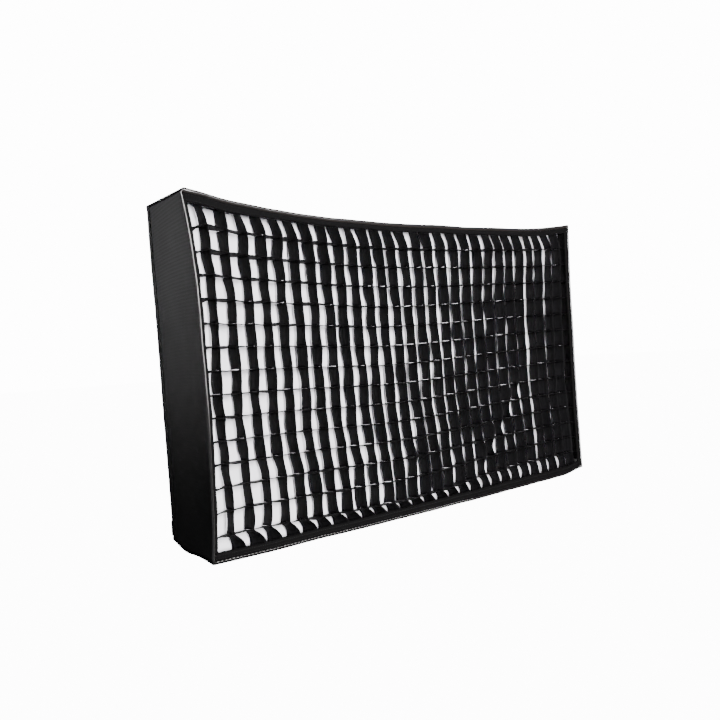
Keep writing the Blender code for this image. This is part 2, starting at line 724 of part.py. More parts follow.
def make_struts(head):
    start_y = SOCKET_FRONT_Y + STRUT_BORE_DEPTH - GAP
    end_y = FRONT_Y + 0.0075
    places = {}
    for name, (side_x, side_z) in CORNERS.items():
        x, _, z = strut_place(side_x, side_z, 0)
        places[name] = (x, z - MIDDLE)
        run = [(0, start_y, 0), (0, end_y, 0)]
        strut = rod("corner_strut_" + name, run, STRUT_RADIUS, "grey_fibreglass")
        place(strut, (x, 0, z), head)
    closed_end, open_end = -(FRONT_Y + 0.0045), -(FRONT_Y + 0.0220)
    chamfer = 0.001
    cap = [
        (0, closed_end),
        (STRUT_TIP_RADIUS - chamfer, closed_end),
        (STRUT_TIP_RADIUS, closed_end - chamfer),
        (STRUT_TIP_RADIUS, open_end),
        (STRUT_RADIUS + SLIP_FIT, open_end),
        (STRUT_RADIUS + SLIP_FIT, -end_y + GAP),
        (0, -end_y + GAP),
    ]
    lathe_set("strut_tip", cap, places, "rubber", head, 12)


# ---------------------------------------------------------------- light mat
def chamfered(half_width, half_height, chamfer):
    """A rectangle whose four corners are cut off to clear the corner sockets."""
    points = []
    for side_x, side_z in ((1, -1), (1, 1), (-1, 1), (-1, -1)):
        along_x = (side_x * (half_width - chamfer), side_z * half_height)
        along_z = (side_x * half_width, side_z * (half_height - chamfer))
        points += [along_x, along_z] if side_x * side_z < 0 else [along_z, along_x]
    return points


def make_light_mat(head):
    half_width, half_height = HALF_WIDTH - MAT_EDGE_GAP, HALF_HEIGHT - MAT_EDGE_GAP
    back_rim = chamfered(half_width, half_height, MAT_CHAMFER)
    back = outline("light_mat_back", [back_rim], MAT_THICKNESS, "mat_fabric")
    place(back, (0, MAT_Y - MAT_THICKNESS / 2, MIDDLE), head, TURN_TO["Y"])
    face_back = MAT_Y - MAT_THICKNESS - GAP
    half_width, half_height = half_width - MAT_FACE_INSET, half_height - MAT_FACE_INSET
    face_rim = chamfered(half_width, half_height, MAT_CHAMFER - MAT_FACE_INSET)
    face = outline("light_mat_face", [face_rim], MAT_FACE_THICKNESS, "led_sheet")
    place(face, (0, face_back - MAT_FACE_THICKNESS / 2, MIDDLE), head, TURN_TO["Y"])
    make_led_array(head, face_back - MAT_FACE_THICKNESS - GAP, half_height)


def make_led_array(head, back_y, half_height):
    """Rows of LED tape joined at both ends by the two supply rails."""
    pitch = 2 * half_height / (LED_ROWS + 1)
    top = (LED_ROWS - 1) / 2 * pitch + LED_ROW_WIDTH / 2
    outer, inner = LED_ROW_HALF, LED_ROW_HALF - LED_RAIL_WIDTH
    loops = [[(-outer, -top), (outer, -top), (outer, top), (-outer, top)]]
    for row in range(LED_ROWS - 1):
        low = -top + LED_ROW_WIDTH + row * pitch
        high = low + pitch - LED_ROW_WIDTH
        loops.append([(-inner, low), (inner, low), (inner, high), (-inner, high)])
    array = outline("led_array", loops, LED_THICKNESS, "led_yellow")
    place(array, (0, back_y - LED_THICKNESS / 2, MIDDLE), head, TURN_TO["Y"])


def make_power_inlet(head):
    """A low housing on the mat's back near its lower left corner, its socket facing down."""
    middle_y = MAT_Y + GAP + INLET_DEPTH / 2
    inlet = block("power_inlet", (INLET_WIDTH, INLET_DEPTH, INLET_TOP - INLET_BOTTOM), "black_nylon")
    place(inlet, (INLET_X, middle_y, MIDDLE + (INLET_TOP + INLET_BOTTOM) / 2), head)
    mouth, bore_end = MIDDLE + INLET_BOTTOM, MIDDLE + INLET_BOTTOM + INLET_BORE_DEPTH
    bore = cylinder("inlet_bore", INLET_BORE_RADIUS, 2 * INLET_BORE_DEPTH, None, CUTTERS, 16)
    place(bore, (INLET_X, middle_y, mouth))
    boolean(inlet, bore, "DIFFERENCE")
    pin = cylinder("inlet_pin", INLET_PIN_RADIUS, INLET_PIN_LENGTH, "brass", sides=8)
    place(pin, (INLET_X, middle_y, bore_end - GAP - INLET_PIN_LENGTH / 2), head)


# ---------------------------------------------------------------- shell
def make_shell(head):
    """Four outer panels and the silver lining inside each. The top and bottom ones run over the side ones."""
    panel_short = {"x": PANEL_THICKNESS + 0.0005, "z": 0.0}
    lining_short = {"x": 0.0035, "z": 0.0020}
    panel_depths = [PANEL_FRONT_Y, RECESS_Y, PANEL_REAR_Y]
    lining_depths = [PANEL_FRONT_Y + 0.002, RECESS_Y, PANEL_REAR_Y - 0.001]
    lining_middle = LINING_OFFSET + LINING_THICKNESS / 2
    for side, (across, _, _) in SIDES.items():
        panel = bmesh.new()
        add_wall_sheet(panel, side, panel_short[across], panel_depths, PANEL_THICKNESS / 2)
        parent_still(sheet_object("panel_" + side, panel, PANEL_THICKNESS, "black_fabric"), head)
        lining = bmesh.new()
        add_wall_sheet(lining, side, lining_short[across], lining_depths, lining_middle)
        parent_still(sheet_object("lining_" + side, lining, LINING_THICKNESS, "silver_lining"), head)


def parent_still(item, head):
    """Hangs a piece modelled in place on the head's empty, without moving it."""
    item.parent = head
    item.location = -head.location


def make_hook_tape(head):
    front_y, back_y = PANEL_FRONT_Y + 0.0025, RECESS_Y - 0.002
    ring_in_recess("hook_tape", TAPE_OFFSET, TAPE_THICKNESS, RING_CORNER, front_y, back_y, "hook_tape", head)


def make_piping(head):
    rim = recess_rim(PIPING_RADIUS + 0.0001, RING_CORNER)
    run = [(across, FRONT_Y + PIPING_RADIUS, up) for across, up in rim]
    piping = rod("front_piping", run, PIPING_RADIUS, "piping_grey", 1, True)
    place(piping, (0, 0, MIDDLE), head)


def make_rear_hem(head):
    """A webbing ring behind the mat's edge, with its corners cut off inside the corner sockets."""
    corner = MAT_CHAMFER + 2 * MAT_EDGE_GAP
    inner_corner = corner - REAR_HEM_WIDTH * 0.6
    rim = chamfered(HALF_WIDTH, HALF_HEIGHT, corner)
    hole = chamfered(HALF_WIDTH - REAR_HEM_WIDTH, HALF_HEIGHT - REAR_HEM_WIDTH, inner_corner)
    hem = outline("rear_hem", [rim, hole], HEM_THICKNESS, "hem_webbing")
    place(hem, (0, REAR_Y - HEM_THICKNESS / 2, MIDDLE), head, TURN_TO["Y"])


# ---------------------------------------------------------------- diffuser
def make_diffuser(diffuser):
    rim = recess_rim(BAND_OFFSET, LIFT_OUT_CORNER)
    cloth = outline("diffuser_cloth", [rim], DIFFUSER_THICKNESS, "white_diffuser")
    place(cloth, (0, DIFFUSER_Y + DIFFUSER_THICKNESS / 2, MIDDLE), diffuser, TURN_TO["Y"])
    start = DIFFUSER_Y + DIFFUSER_THICKNESS + GAP
    end = start + DIFFUSER_BAND
    slot = "hem_webbing"
    ring_in_recess("diffuser_band", BAND_OFFSET, BAND_THICKNESS, LIFT_OUT_CORNER, start, end, slot, diffuser)


# ---------------------------------------------------------------- grid
def make_grid_hem(grid):
    edge = 2 * PIPING_RADIUS + 0.0004
    middle_y = FRONT_Y + HEM_THICKNESS / 2
    for side in SIDES:
        level_side = SIDES[side][0] == "z"
        short_by = 0.004 if level_side else HEM_WIDTHS["top"] + 0.005
        half_length = half_length_of(side)
        alongs = stations(short_by - half_length, half_length - short_by, half_length)
        bm = bmesh.new()
        inwards = [edge, edge + HEM_WIDTHS[side]]
        add_sheet(bm, alongs, inwards, lambda along, inward: wall_point(side, along, middle_y, inward))
        parent_still(sheet_object("grid_hem_" + side, bm, HEM_THICKNESS, "hem_webbing"), grid)


def row_heights():
    top = (GRID_ROWS - 2) / 2 * ROW_PITCH - GRID_CENTRE_DROP
    return [top - row * ROW_PITCH for row in range(GRID_ROWS - 1)]


def column_places():
    first = -(GRID_COLUMNS - 2) / 2 * COLUMN_PITCH
    return [first + column * COLUMN_PITCH for column in range(GRID_COLUMNS - 1)]


def row_line(height, alongs, shift):
    """A level strip's edge. It dips with the top edge, the more so the nearer it is to it."""
    share = ((height + HALF_HEIGHT) / BOX_HEIGHT) ** 3
    return [(along, height + shift - share * slack(along, HALF_WIDTH, TOP_SAG)) for along in alongs]


def upright_holes(sides, offset):
    """The tall gaps between the upright strips."""

    def edge(side, across):
        return across, wall_point(side, across, FRONT_Y, offset).z - MIDDLE

    half = STRIP_THICKNESS / 2
    columns = column_places()
    holes = []
    for left, right in zip(columns, columns[1:]):
        low, high = left + half, right - half
        holes.append([edge("bottom", low), edge("bottom", high), edge("top", high), edge("top", low)])
    first, last = columns[0] - half, columns[-1] + half
    holes.append([edge("top", first), *sides["left"], edge("bottom", first)])
    holes.append([edge("bottom", last), *sides["right"], edge("top", last)])
    return holes


def level_holes(sides, offset):
    """The wide gaps between the level strips."""

    def row_stations(height):
        left = wall_point("left", height, FRONT_Y, offset).x
        right = wall_point("right", height, FRONT_Y, offset).x
        return stations(left, right, HALF_WIDTH)

    half = STRIP_THICKNESS / 2
    rows = row_heights()
    holes = []
    for upper, lower in zip(rows, rows[1:]):
        floor_line = row_line(lower, row_stations(lower), half)
        holes.append(floor_line + row_line(upper, row_stations(upper), -half)[::-1])
    top, bottom = rows[0], rows[-1]
    sill_line = row_line(top, row_stations(top), half)
    holes.append([*sill_line, sides["right"][-1], *sides["top"], sides["left"][0]])
    roof_line = row_line(bottom, row_stations(bottom), -half)[::-1]
    holes.append([*sides["bottom"], sides["right"][0], *roof_line, sides["left"][-1]])
    return holes


def make_grid_strips(grid):
    """Upright strips in front and level strips behind, each set sewn to its own edge band."""
    rim = recess_rim(BAND_OFFSET, LIFT_OUT_CORNER)
    inner = BAND_OFFSET + BAND_THICKNESS
    sides = recess_sides(inner, LIFT_OUT_CORNER)
    half_depth = GRID_DEPTH / 2
    layers = (
        ("grid_upright_strips", upright_holes(sides, inner), PANEL_FRONT_Y),
        ("grid_level_strips", level_holes(sides, inner), PANEL_FRONT_Y + half_depth),
    )
    for name, holes, front_y in layers:
        strips = lattice(name, rim, holes, half_depth - GAP, "grid_fabric")
        place(strips, (0, front_y + (half_depth - GAP) / 2, MIDDLE), grid, TURN_TO["Y"])


# ---------------------------------------------------------------- assembly
clear_scene()
MODEL = new_collection("strip_softbox")
CUTTERS = new_collection("cutters")
CUTTERS.hide_render = True
MATERIALS = make_materials()

make_stand_receiver()
make_tilt_bolt()
make_clamp()
make_lock_lever()

head_empty = joint_empty("tilt_axis", PIVOT)
make_knuckle(head_empty)
make_hub_plates(head_empty)
make_hub_fasteners(head_empty)
make_arms(head_empty)
make_corner_sockets(head_empty)
make_struts(head_empty)
make_light_mat(head_empty)
make_power_inlet(head_empty)
make_shell(head_empty)
make_hook_tape(head_empty)
make_piping(head_empty)
make_rear_hem(head_empty)

diffuser_empty = joint_empty("diffuser_slide", (0, DIFFUSER_Y, MIDDLE))
make_diffuser(diffuser_empty)
grid_empty = joint_empty("grid_slide", (0, FRONT_Y, MIDDLE))
make_grid_hem(grid_empty)
make_grid_strips(grid_empty)
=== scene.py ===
"""Looks of the strip softbox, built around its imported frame.

Metres, +Z up, the box faces -Y. Soft CAD solids are replaced by modelled cloth, and hard nodes
keep their shape.
"""

from math import cos, exp, pi, sin
from random import Random

import bmesh
import bpy
from mathutils import Matrix, Vector, noise


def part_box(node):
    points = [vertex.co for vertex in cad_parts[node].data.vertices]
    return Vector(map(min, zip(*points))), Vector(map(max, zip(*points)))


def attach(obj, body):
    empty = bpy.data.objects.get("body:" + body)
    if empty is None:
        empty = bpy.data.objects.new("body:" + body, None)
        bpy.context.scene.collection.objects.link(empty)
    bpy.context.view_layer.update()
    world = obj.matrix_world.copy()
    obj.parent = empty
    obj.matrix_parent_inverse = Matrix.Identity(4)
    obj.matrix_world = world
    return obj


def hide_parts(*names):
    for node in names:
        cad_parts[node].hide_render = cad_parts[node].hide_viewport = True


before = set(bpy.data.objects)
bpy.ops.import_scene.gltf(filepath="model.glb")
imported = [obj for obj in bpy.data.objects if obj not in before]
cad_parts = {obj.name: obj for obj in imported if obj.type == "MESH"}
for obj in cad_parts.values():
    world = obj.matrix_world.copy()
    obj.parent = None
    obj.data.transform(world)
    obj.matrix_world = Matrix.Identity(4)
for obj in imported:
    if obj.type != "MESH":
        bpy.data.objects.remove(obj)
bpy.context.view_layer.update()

# ---------------------------------------------------------------- places read from the frame
LEFT_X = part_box("panel_left")[0].x
RIGHT_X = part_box("panel_right")[1].x
TOP_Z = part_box("panel_top")[1].z
BOTTOM_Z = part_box("panel_bottom")[0].z
FRONT_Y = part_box("front_piping")[0].y
REAR_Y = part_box("panel_left")[1].y
HEM_REAR_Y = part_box("rear_hem")[1].y
DIFFUSER_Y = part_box("diffuser_cloth")[0].y
HALF_WIDTH = (RIGHT_X - LEFT_X) / 2
HALF_HEIGHT = (TOP_Z - BOTTOM_Z) / 2
MIDDLE = (TOP_Z + BOTTOM_Z) / 2
RECESS_Y = FRONT_Y + 0.056

# ---------------------------------------------------------------- driving dimensions of the cloth
SLACK = {"top": 0.0273, "left": 0.010, "right": 0.005, "bottom": 0.001}
SLACK_POWER = 2.8
TOP_MORE_LEFT = 0.0042
TOP_LESS_RIGHT = 0.0016
WRINKLE = 0.0010
PANEL = 0.0010
LINING = 0.0005
GRID_DEPTH = 0.026
GRID_FRONT_Y = FRONT_Y + 0.0018
BAND_INSET = 0.0033
FIRST_COLUMN = -0.450
COLUMN_PITCH = 0.0327
COLUMNS = 28
TOP_ROW = 0.2418
ROW_PITCH = 0.03852
ROWS = 14
ROW_SAG = 0.0045
DROOP = 0.0115
DROOP_BELOW = 0.034
# two strips near the right end whose rear edges stand clear of the next one
LOOSE = {24: 0.0044, 26: 0.0060}
SIDES = {"left": ("x", -1), "right": ("x", 1), "top": ("z", 1), "bottom": ("z", -1)}

# how far the strips' (front, rear) edges stand sideways of their even spacing, by cause
DRIFT_REST = (-0.0003, -0.0029)
DRIFT_SPREAD = (0.0135, 0.0190)
DRIFT_SAG = (-0.0072, -0.0045)
DRIFT_LOW = (0.0116, 0.0119)
DRIFT_LAST_LOSS = (0.3, 0.6)
DRIFT_HIGH_RIGHT = (0.0082, 0.0102)
DRIFT_HIGH_LEFT = (-0.0032, -0.0050)
DRIFT_LOW_END = (-0.006, -0.004)
DRIFT_HIGH_END = -0.0030
REAR_SHUT = 0.004
REAR_SAG = 0.0009
REAR_LEFT = 0.0021

# the (front, rear) edges lean right at the lowest level strip and curl further to the bottom hem
KNEE = (0.0045, 0.0055)
CURL = (0.0200, 0.0090)
CURL_LESS_RIGHT = 0.0100
TOP_PULL = 0.0100
TOP_PULL_MORE_RIGHT = 0.0090

# the crease low on the right, along a slanting line in x and height
CREASE = 0.0058
CREASE_SLOPE = 1.177
CREASE_AT = (0.2367, -0.1186)
CREASE_SPAN = (0.12, 0.29)

# level strips sink most here
BELLY = 0.0125
BELLY_AT = -0.06
BELLY_REACH = 0.20

# ---------------------------------------------------------------- camera, floor and light
CAMERA_AT = Vector((-0.8768, -1.2441, 0.1238))
CAMERA_TURN = (0.00318, -0.62990, -0.06833)
SENSOR = 36.0
LENS = 0.8836 * SENSOR


def make_camera():
    """The camera's axes come from one rotation vector that turns the box's axes into them."""
    vector = Vector(CAMERA_TURN)
    turn = Matrix.Rotation(vector.length, 3, vector) @ Matrix(((1, 0, 0), (0, 0, -1), (0, 1, 0)))
    right, down, ahead = (Vector(row) for row in turn)
    data = bpy.data.cameras.new("camera")
    data.sensor_width = SENSOR
    data.lens = LENS
    data.clip_start = 0.05
    data.clip_end = 200
    camera = bpy.data.objects.new("camera", data)
    camera.matrix_world = Matrix.Translation(CAMERA_AT) @ Matrix((right, -down, -ahead)).transposed().to_4x4()
    bpy.context.scene.collection.objects.link(camera)
    bpy.context.scene.camera = camera


def area_light(name, at, aim, size, power, spread=pi, tint=(1, 1, 1)):
    data = bpy.data.lights.new(name, "AREA")
    data.shape = "RECTANGLE"
    data.size, data.size_y = size
    data.energy = power
    data.spread = spread
    data.color = tint
    light = bpy.data.objects.new(name, data)
    light.location = at
    light.rotation_euler = (Vector(aim) - Vector(at)).to_track_quat("-Z", "Y").to_euler()
    bpy.context.scene.collection.objects.link(light)


def backdrop(name, bm, glow):
    """A white surface that only the camera sees, so that it lights nothing."""
    mesh = bpy.data.meshes.new(name)
    bm.to_mesh(mesh)
    bm.free()
    item = bpy.data.objects.new(name, mesh)
    material = bpy.data.materials.new(name)
    material.use_nodes = True
    tree = material.node_tree
    tree.nodes.clear()
    emission = tree.nodes.new("ShaderNodeEmission")
    emission.inputs["Strength"].default_value = glow
    output = tree.nodes.new("ShaderNodeOutputMaterial")
    tree.links.new(emission.outputs["Emission"], output.inputs["Surface"])
    mesh.materials.append(material)
    item.visible_diffuse = False
    item.visible_glossy = False
    item.visible_transmission = False
    item.visible_shadow = False
    bpy.context.scene.collection.objects.link(item)
    return item


def make_stage():
    bm = bmesh.new()
    bmesh.ops.create_circle(bm, cap_ends=True, segments=64, radius=30)
    floor = backdrop("floor", bm, 13.0)
    floor.location.z = -1.0
    bm = bmesh.new()
    bmesh.ops.create_uvsphere(bm, u_segments=48, v_segments=24, radius=32)
    backdrop("studio_wall", bm, 14.0)
    world = bpy.data.worlds.new("studio")
    bpy.context.scene.world = world
    world.use_nodes = True
    world.node_tree.nodes["Background"].inputs["Strength"].default_value = 0.12
    side_at = (-1.30, -0.20, 0.75)
    area_light("front_light", (-0.22, -2.1, 0.42), (0.0, -0.27, 0.10), (0.5, 1.1), 150)
    area_light("side_light", side_at, (-0.49, -0.19, 0.319), (0.16, 0.10), 0.90, pi * 0.2056)
    area_light("side_light_low", side_at, (-0.49, -0.19, 0.1285), (0.16, 0.10), 0.072, pi * 0.1056)
    area_light("side_fill", (-1.30, -0.20, -0.35), (-0.49, -0.19, -0.15), (0.20, 0.20), 1.45)
    area_light("top_light", (0.1, 0.3, 1.9), (0.0, -0.1, 0.1), (1.2, 0.5), 9)
    area_light("back_light", (0.9, 1.9, 0.9), (0.0, 0.0, 0.1), (1.2, 1.0), 45)


# ---------------------------------------------------------------- materials
class Shader:
    """A Principled material, and short ways of adding nodes to it."""

    def __init__(self, name, colour, roughness, metallic=0.0, specular=0.5, **sockets):
        self.material = bpy.data.materials.new(name)
        self.material.use_nodes = True
        self.tree = self.material.node_tree
        self.main = self.tree.nodes["Principled BSDF"]
        self.main.inputs["Base Color"].default_value = (*colour, 1)
        self.main.inputs["Roughness"].default_value = roughness
        self.main.inputs["Metallic"].default_value = metallic
        self.main.inputs["Specular IOR Level"].default_value = specular
        for socket, value in sockets.items():
            self.main.inputs[socket.replace("_", " ").title()].default_value = value
        self.place = self.add("ShaderNodeTexCoord").outputs["Object"]

    def add(self, kind, **settings):
        made = self.tree.nodes.new(kind)
        for name, value in settings.items():
            setattr(made, name, value)
        return made

    def put(self, socket, value):
        if isinstance(value, bpy.types.NodeSocket):
            self.tree.links.new(value, socket)
        else:
            socket.default_value = value

    def math(self, operation, first, second=0.0, third=0.0):
        made = self.add("ShaderNodeMath", operation=operation)
        for socket, value in zip(made.inputs, (first, second, third)):
            self.put(socket, value)
        return made.outputs[0]

    def axes(self, turn=(0, 0, 0), scale=(1, 1, 1)):
        made = self.add("ShaderNodeMapping")
        made.inputs["Rotation"].default_value = turn
        made.inputs["Scale"].default_value = scale
        self.put(made.inputs["Vector"], self.place)
        split = self.add("ShaderNodeSeparateXYZ")
        self.put(split.inputs[0], made.outputs[0])
        return split.outputs

    def noise(self, scale, detail=3.0, stretch=(1, 1, 1)):
        spread = self.add("ShaderNodeMapping")
        spread.inputs["Scale"].default_value = stretch
        self.put(spread.inputs["Vector"], self.place)
        made = self.add("ShaderNodeTexNoise")
        made.inputs["Scale"].default_value = scale
        made.inputs["Detail"].default_value = detail
        self.put(made.inputs["Vector"], spread.outputs[0])
        return made.outputs[0]

    def ramp(self, value, low, high, to_low=0.0, to_high=1.0):
        made = self.add("ShaderNodeMapRange")
        made.interpolation_type = "SMOOTHSTEP"
        for socket, number in zip(made.inputs, (value, low, high, to_low, to_high)):
            self.put(socket, number)
        return made.outputs[0]

    def mix(self, share, first, second):
        made = self.add("ShaderNodeMix", data_type="RGBA")
        self.put(made.inputs["Factor"], share)
        for socket, colour in ((made.inputs["A"], first), (made.inputs["B"], second)):
            self.put(socket, colour if isinstance(colour, bpy.types.NodeSocket) else (*colour, 1))
        return made.outputs["Result"]

    def colour(self, value):
        self.put(self.main.inputs["Base Color"], value)

    def bump(self, height, depth, strength=1.0):
        made = self.add("ShaderNodeBump")
        made.inputs["Strength"].default_value = strength
        made.inputs["Distance"].default_value = depth
        self.put(made.inputs["Height"], height)
        self.put(self.main.inputs["Normal"], made.outputs[0])

    def threads(self, first, second, pitch):
        """A plain weave's height over two axes: over and under, thread by thread."""
        wave = pi / pitch
        across = self.math("SINE", self.math("MULTIPLY", first, wave))
        along = self.math("SINE", self.math("MULTIPLY", second, wave))
        return self.math("MULTIPLY_ADD", self.math("MULTIPLY", across, along), 0.5, 0.5)


def shade(colour, by):
    return tuple(channel * by for channel in colour)


def woven(name, colour, pitch, facing, roughness=0.9, contrast=0.45, depth=0.0004, specular=0.15, sheen=0.05,
          twill=0.0):
    """Woven cloth. Facing is the axis that the cloth looks along, and the weave runs over the other two."""
    cloth = Shader(name, colour, roughness, 0.0, specular, sheen_weight=sheen, sheen_roughness=0.6)
    x, y, z = cloth.axes()
    first, second = {"x": (y, z), "y": (x, z), "z": (x, y)}[facing]
    weave = cloth.threads(first, second, pitch)
    patches = cloth.noise(9.0, 4.0)
    worn = cloth.mix(cloth.ramp(patches, 0.35, 0.7), shade(colour, 0.8), shade(colour, 1.2))
    if twill:
        bent = cloth.math("POWER", cloth.math("MULTIPLY_ADD", first, 7.0, 1.55), 2.0)
        rib = cloth.math("MULTIPLY_ADD", bent, 0.012, second)
        rib = cloth.math("SINE", cloth.math("MULTIPLY", rib, 2 * pi / 0.0060))
        fade = cloth.ramp(z, 0.02, 0.36, 0.25, 1.0)
        rib = cloth.math("MULTIPLY", cloth.math("MULTIPLY_ADD", rib, 0.5, 0.5), fade)
        worn = cloth.mix(cloth.math("MULTIPLY", rib, twill), worn, shade(colour, 0.25))
    cloth.colour(cloth.mix(weave, shade(colour, 1 - contrast), worn))
    cloth.bump(weave, depth)
    return cloth.material


def ribbed(name, colour, pitch, turn=(0, 0, 0), roughness=0.85, specular=0.2):
    """Webbing: fine ribs over one turned axis, crossed by a finer weave."""
    tape = Shader(name, colour, roughness, 0.0, specular)
    x, y, z = tape.axes(turn)
    ribs = tape.math("SINE", tape.math("MULTIPLY", x, 2 * pi / pitch))
    height = tape.math("MULTIPLY_ADD", ribs, 0.5, 0.5)
    fuzz = tape.noise(900.0, 2.0)
    height = tape.math("MULTIPLY_ADD", fuzz, 0.35, height)
    tape.colour(tape.mix(tape.ramp(height, 0.1, 1.1), shade(colour, 0.6), shade(colour, 1.25)))
    tape.bump(height, 0.0003)
    return tape.material


def strip_cloth(name, colour, turn=(0, 0, 0)):
    """Thin black nylon of the grid: faint wrinkles along the strip, also painted in the colour as sheen and
    shade, and a fine weave.
    """
    cloth = Shader(name, colour, 0.72, 0.0, 0.06)
    streaks = cloth.noise(260.0, 3.0, (1, 1, 0.07) if not turn[1] else (0.07, 1, 1))
    patches = cloth.noise(14.0, 2.0)
    tone = cloth.mix(cloth.ramp(patches, 0.3, 0.7), shade(colour, 0.75), shade(colour, 1.3))
    # Painted sheen and shade: lighter along the wrinkle streaks and darker between them, over random patches
    # of tone.
    cloth.colour(cloth.mix(cloth.ramp(streaks, 0.3, 0.75), shade(colour, 0.6), tone))
    cloth.bump(cloth.math("MULTIPLY_ADD", cloth.noise(1500.0, 1.0), 0.2, streaks), 0.0006)
    return cloth.material


def diffuser_white():
    cloth = Shader("diffuser_white", (0.80, 0.78, 0.82), 0.8, 0.0, 0.2, sheen_weight=0.1)
    x, y, z = cloth.axes()
    weave = cloth.threads(x, z, 0.0011)
    folds = cloth.noise(16.0, 3.0, (1, 1, 0.12))
    # Painted shade: the white is painted lighter and darker in soft upright streaks, by the same noise that
    # bumps the folds.
    tone = cloth.mix(cloth.ramp(folds, 0.3, 0.7), (0.76, 0.73, 0.78), (0.84, 0.82, 0.86))
    cloth.colour(cloth.mix(cloth.math("MULTIPLY", weave, 0.12), tone, (0.70, 0.68, 0.73)))
    cloth.bump(cloth.math("MULTIPLY_ADD", weave, 0.08, folds), 0.0014)
    return cloth.material


def piping_cloth():
    """A dark braid, painted light grey in stretches as painted highlights along parts of its run."""
    cord = Shader("piping_cloth", (0.5, 0.49, 0.5), 0.6, 0.0, 0.3)
    x, y, z = cord.axes()
    # Painted highlights: light grey on the left edge's upper part, the left of the top run and the right
    # edge's lower part, varied at random by noise.
    left_edge = cord.math("MULTIPLY", cord.ramp(x, -0.486, -0.470, 1.0, 0.0),
                          cord.ramp(z, -0.03, 0.09, 0.02, 1.0))
    top_run = cord.math("MULTIPLY", cord.ramp(x, -0.34, -0.05, 0.30, 0.0), cord.ramp(z, 0.33, 0.34))
    right_edge = cord.math("MULTIPLY", cord.ramp(x, 0.478, 0.482, 0.0, 0.75),
                           cord.ramp(z, 0.03, 0.11, 1.0, 0.2))
    painted_highlight = cord.math("MAXIMUM", cord.math("MAXIMUM", left_edge, top_run), right_edge)
    painted_highlight = cord.math("MULTIPLY", painted_highlight, cord.ramp(cord.noise(60.0), 0.25, 0.6, 0.55, 1.0))
    cord.colour(cord.mix(painted_highlight, (0.010, 0.009, 0.0085), (0.33, 0.32, 0.325)))
    along = cord.math("ADD", cord.math("ADD", x, z), y)
    braid = cord.math("SINE", cord.math("MULTIPLY", along, 2 * pi / 0.0022))
    cord.bump(braid, 0.0002)
    return cord.material


def speckled(name, colour, roughness, metallic=0.0, grain=700.0, depth=0.00015, wear=0.25):
    """Moulded plastic or powder coat: fine texture, with a little wear in broad patches."""
    coat = Shader(name, colour, roughness, metallic, 0.4)
    grains = coat.noise(grain, 2.0)
    patches = coat.noise(22.0, 4.0)
    coat.colour(coat.mix(coat.ramp(patches, 0.35, 0.75), shade(colour, 1 - wear), shade(colour, 1 + wear)))
    coat.put(coat.main.inputs["Roughness"], coat.ramp(patches, 0.2, 0.8, roughness - 0.1, roughness + 0.1))
    coat.bump(grains, depth)
    return coat.material


def metal(name, colour, roughness, stretch=(1, 1, 12)):
    plate = Shader(name, colour, roughness, 1.0, 0.5)
    lines = plate.noise(420.0, 3.0, stretch)
    plate.colour(plate.mix(lines, shade(colour, 0.75), shade(colour, 1.15)))
    plate.put(plate.main.inputs["Roughness"], plate.ramp(lines, 0.2, 0.8, roughness - 0.08, roughness + 0.15))
    plate.bump(lines, 0.00008)
    return plate.material


def make_materials():
    black = (0.018, 0.0175, 0.019)
    hem = (0.0034, 0.0032, 0.0034)
    silver = (0.55, 0.56, 0.58)
    return {
        "panel_x": woven("panel_cloth_x", black, 0.0022, "x", twill=0.95),
        "panel_z": woven("panel_cloth_z", black, 0.0022, "z"),
        "lining_x": woven("lining_cloth_x", silver, 0.0014, "x", 0.35, 0.25, 0.0002, 0.5),
        "lining_z": woven("lining_cloth_z", silver, 0.0014, "z", 0.35, 0.25, 0.0002, 0.5),
        "mat": woven("mat_cloth", (0.030, 0.030, 0.033), 0.0018, "y"),
        "sheet": woven("sheet_cloth", (0.72, 0.72, 0.70), 0.0016, "y", 0.6, 0.06, 0.0001),
        "hem": ribbed("hem_tape", hem, 0.0026, specular=0.05),
        "hem_upright": ribbed("hem_tape_upright", hem, 0.0026, (0, pi / 2, 0), specular=0.05),
        "rear_hem": ribbed("rear_hem_cloth", (0.0165, 0.0160, 0.0172), 0.0026, specular=0.1),
        "binding": ribbed("binding_tape", (0.0125, 0.0105, 0.0098), 0.0020, specular=0.1),
        "band": ribbed("band_tape", (0.006, 0.0058, 0.006), 0.0030, (0, 0, pi / 2), specular=0.1),
        "upright": strip_cloth("upright_cloth", (0.0056, 0.0054, 0.0060)),
        # The level strips are the same black nylon as the uprights, painted darker as painted shade.
        "level": strip_cloth("level_cloth_painted_darker", (0.0034, 0.0033, 0.0035), (0, pi / 2, 0)),
        "diffuser": diffuser_white(),
        "piping": piping_cloth(),
        "thread": ribbed("thread", (0.011, 0.0105, 0.011), 0.0010),
        "pale_thread": ribbed("pale_thread", (0.34, 0.335, 0.33), 0.0010),
        "pile": speckled("hook_pile", (0.008, 0.008, 0.0085), 0.85, 0.0, 1500.0, 0.0008),
        "plastic": speckled("moulded_black", (0.020, 0.020, 0.022), 0.50),
        "coat": speckled("powder_coat", (0.022, 0.022, 0.024), 0.42, 0.0, 1100.0, 0.0001),
        "rubber": speckled("rubber_black", (0.016, 0.016, 0.016), 0.8, 0.0, 400.0),
        "fibreglass": speckled("fibreglass_grey", (0.09, 0.09, 0.10), 0.35, 0.0, 900.0, 0.00005),
        "steel": metal("zinc_plated", (0.55, 0.55, 0.53), 0.32),
        "brass": metal("brass_turned", (0.66, 0.47, 0.20), 0.30),
    }


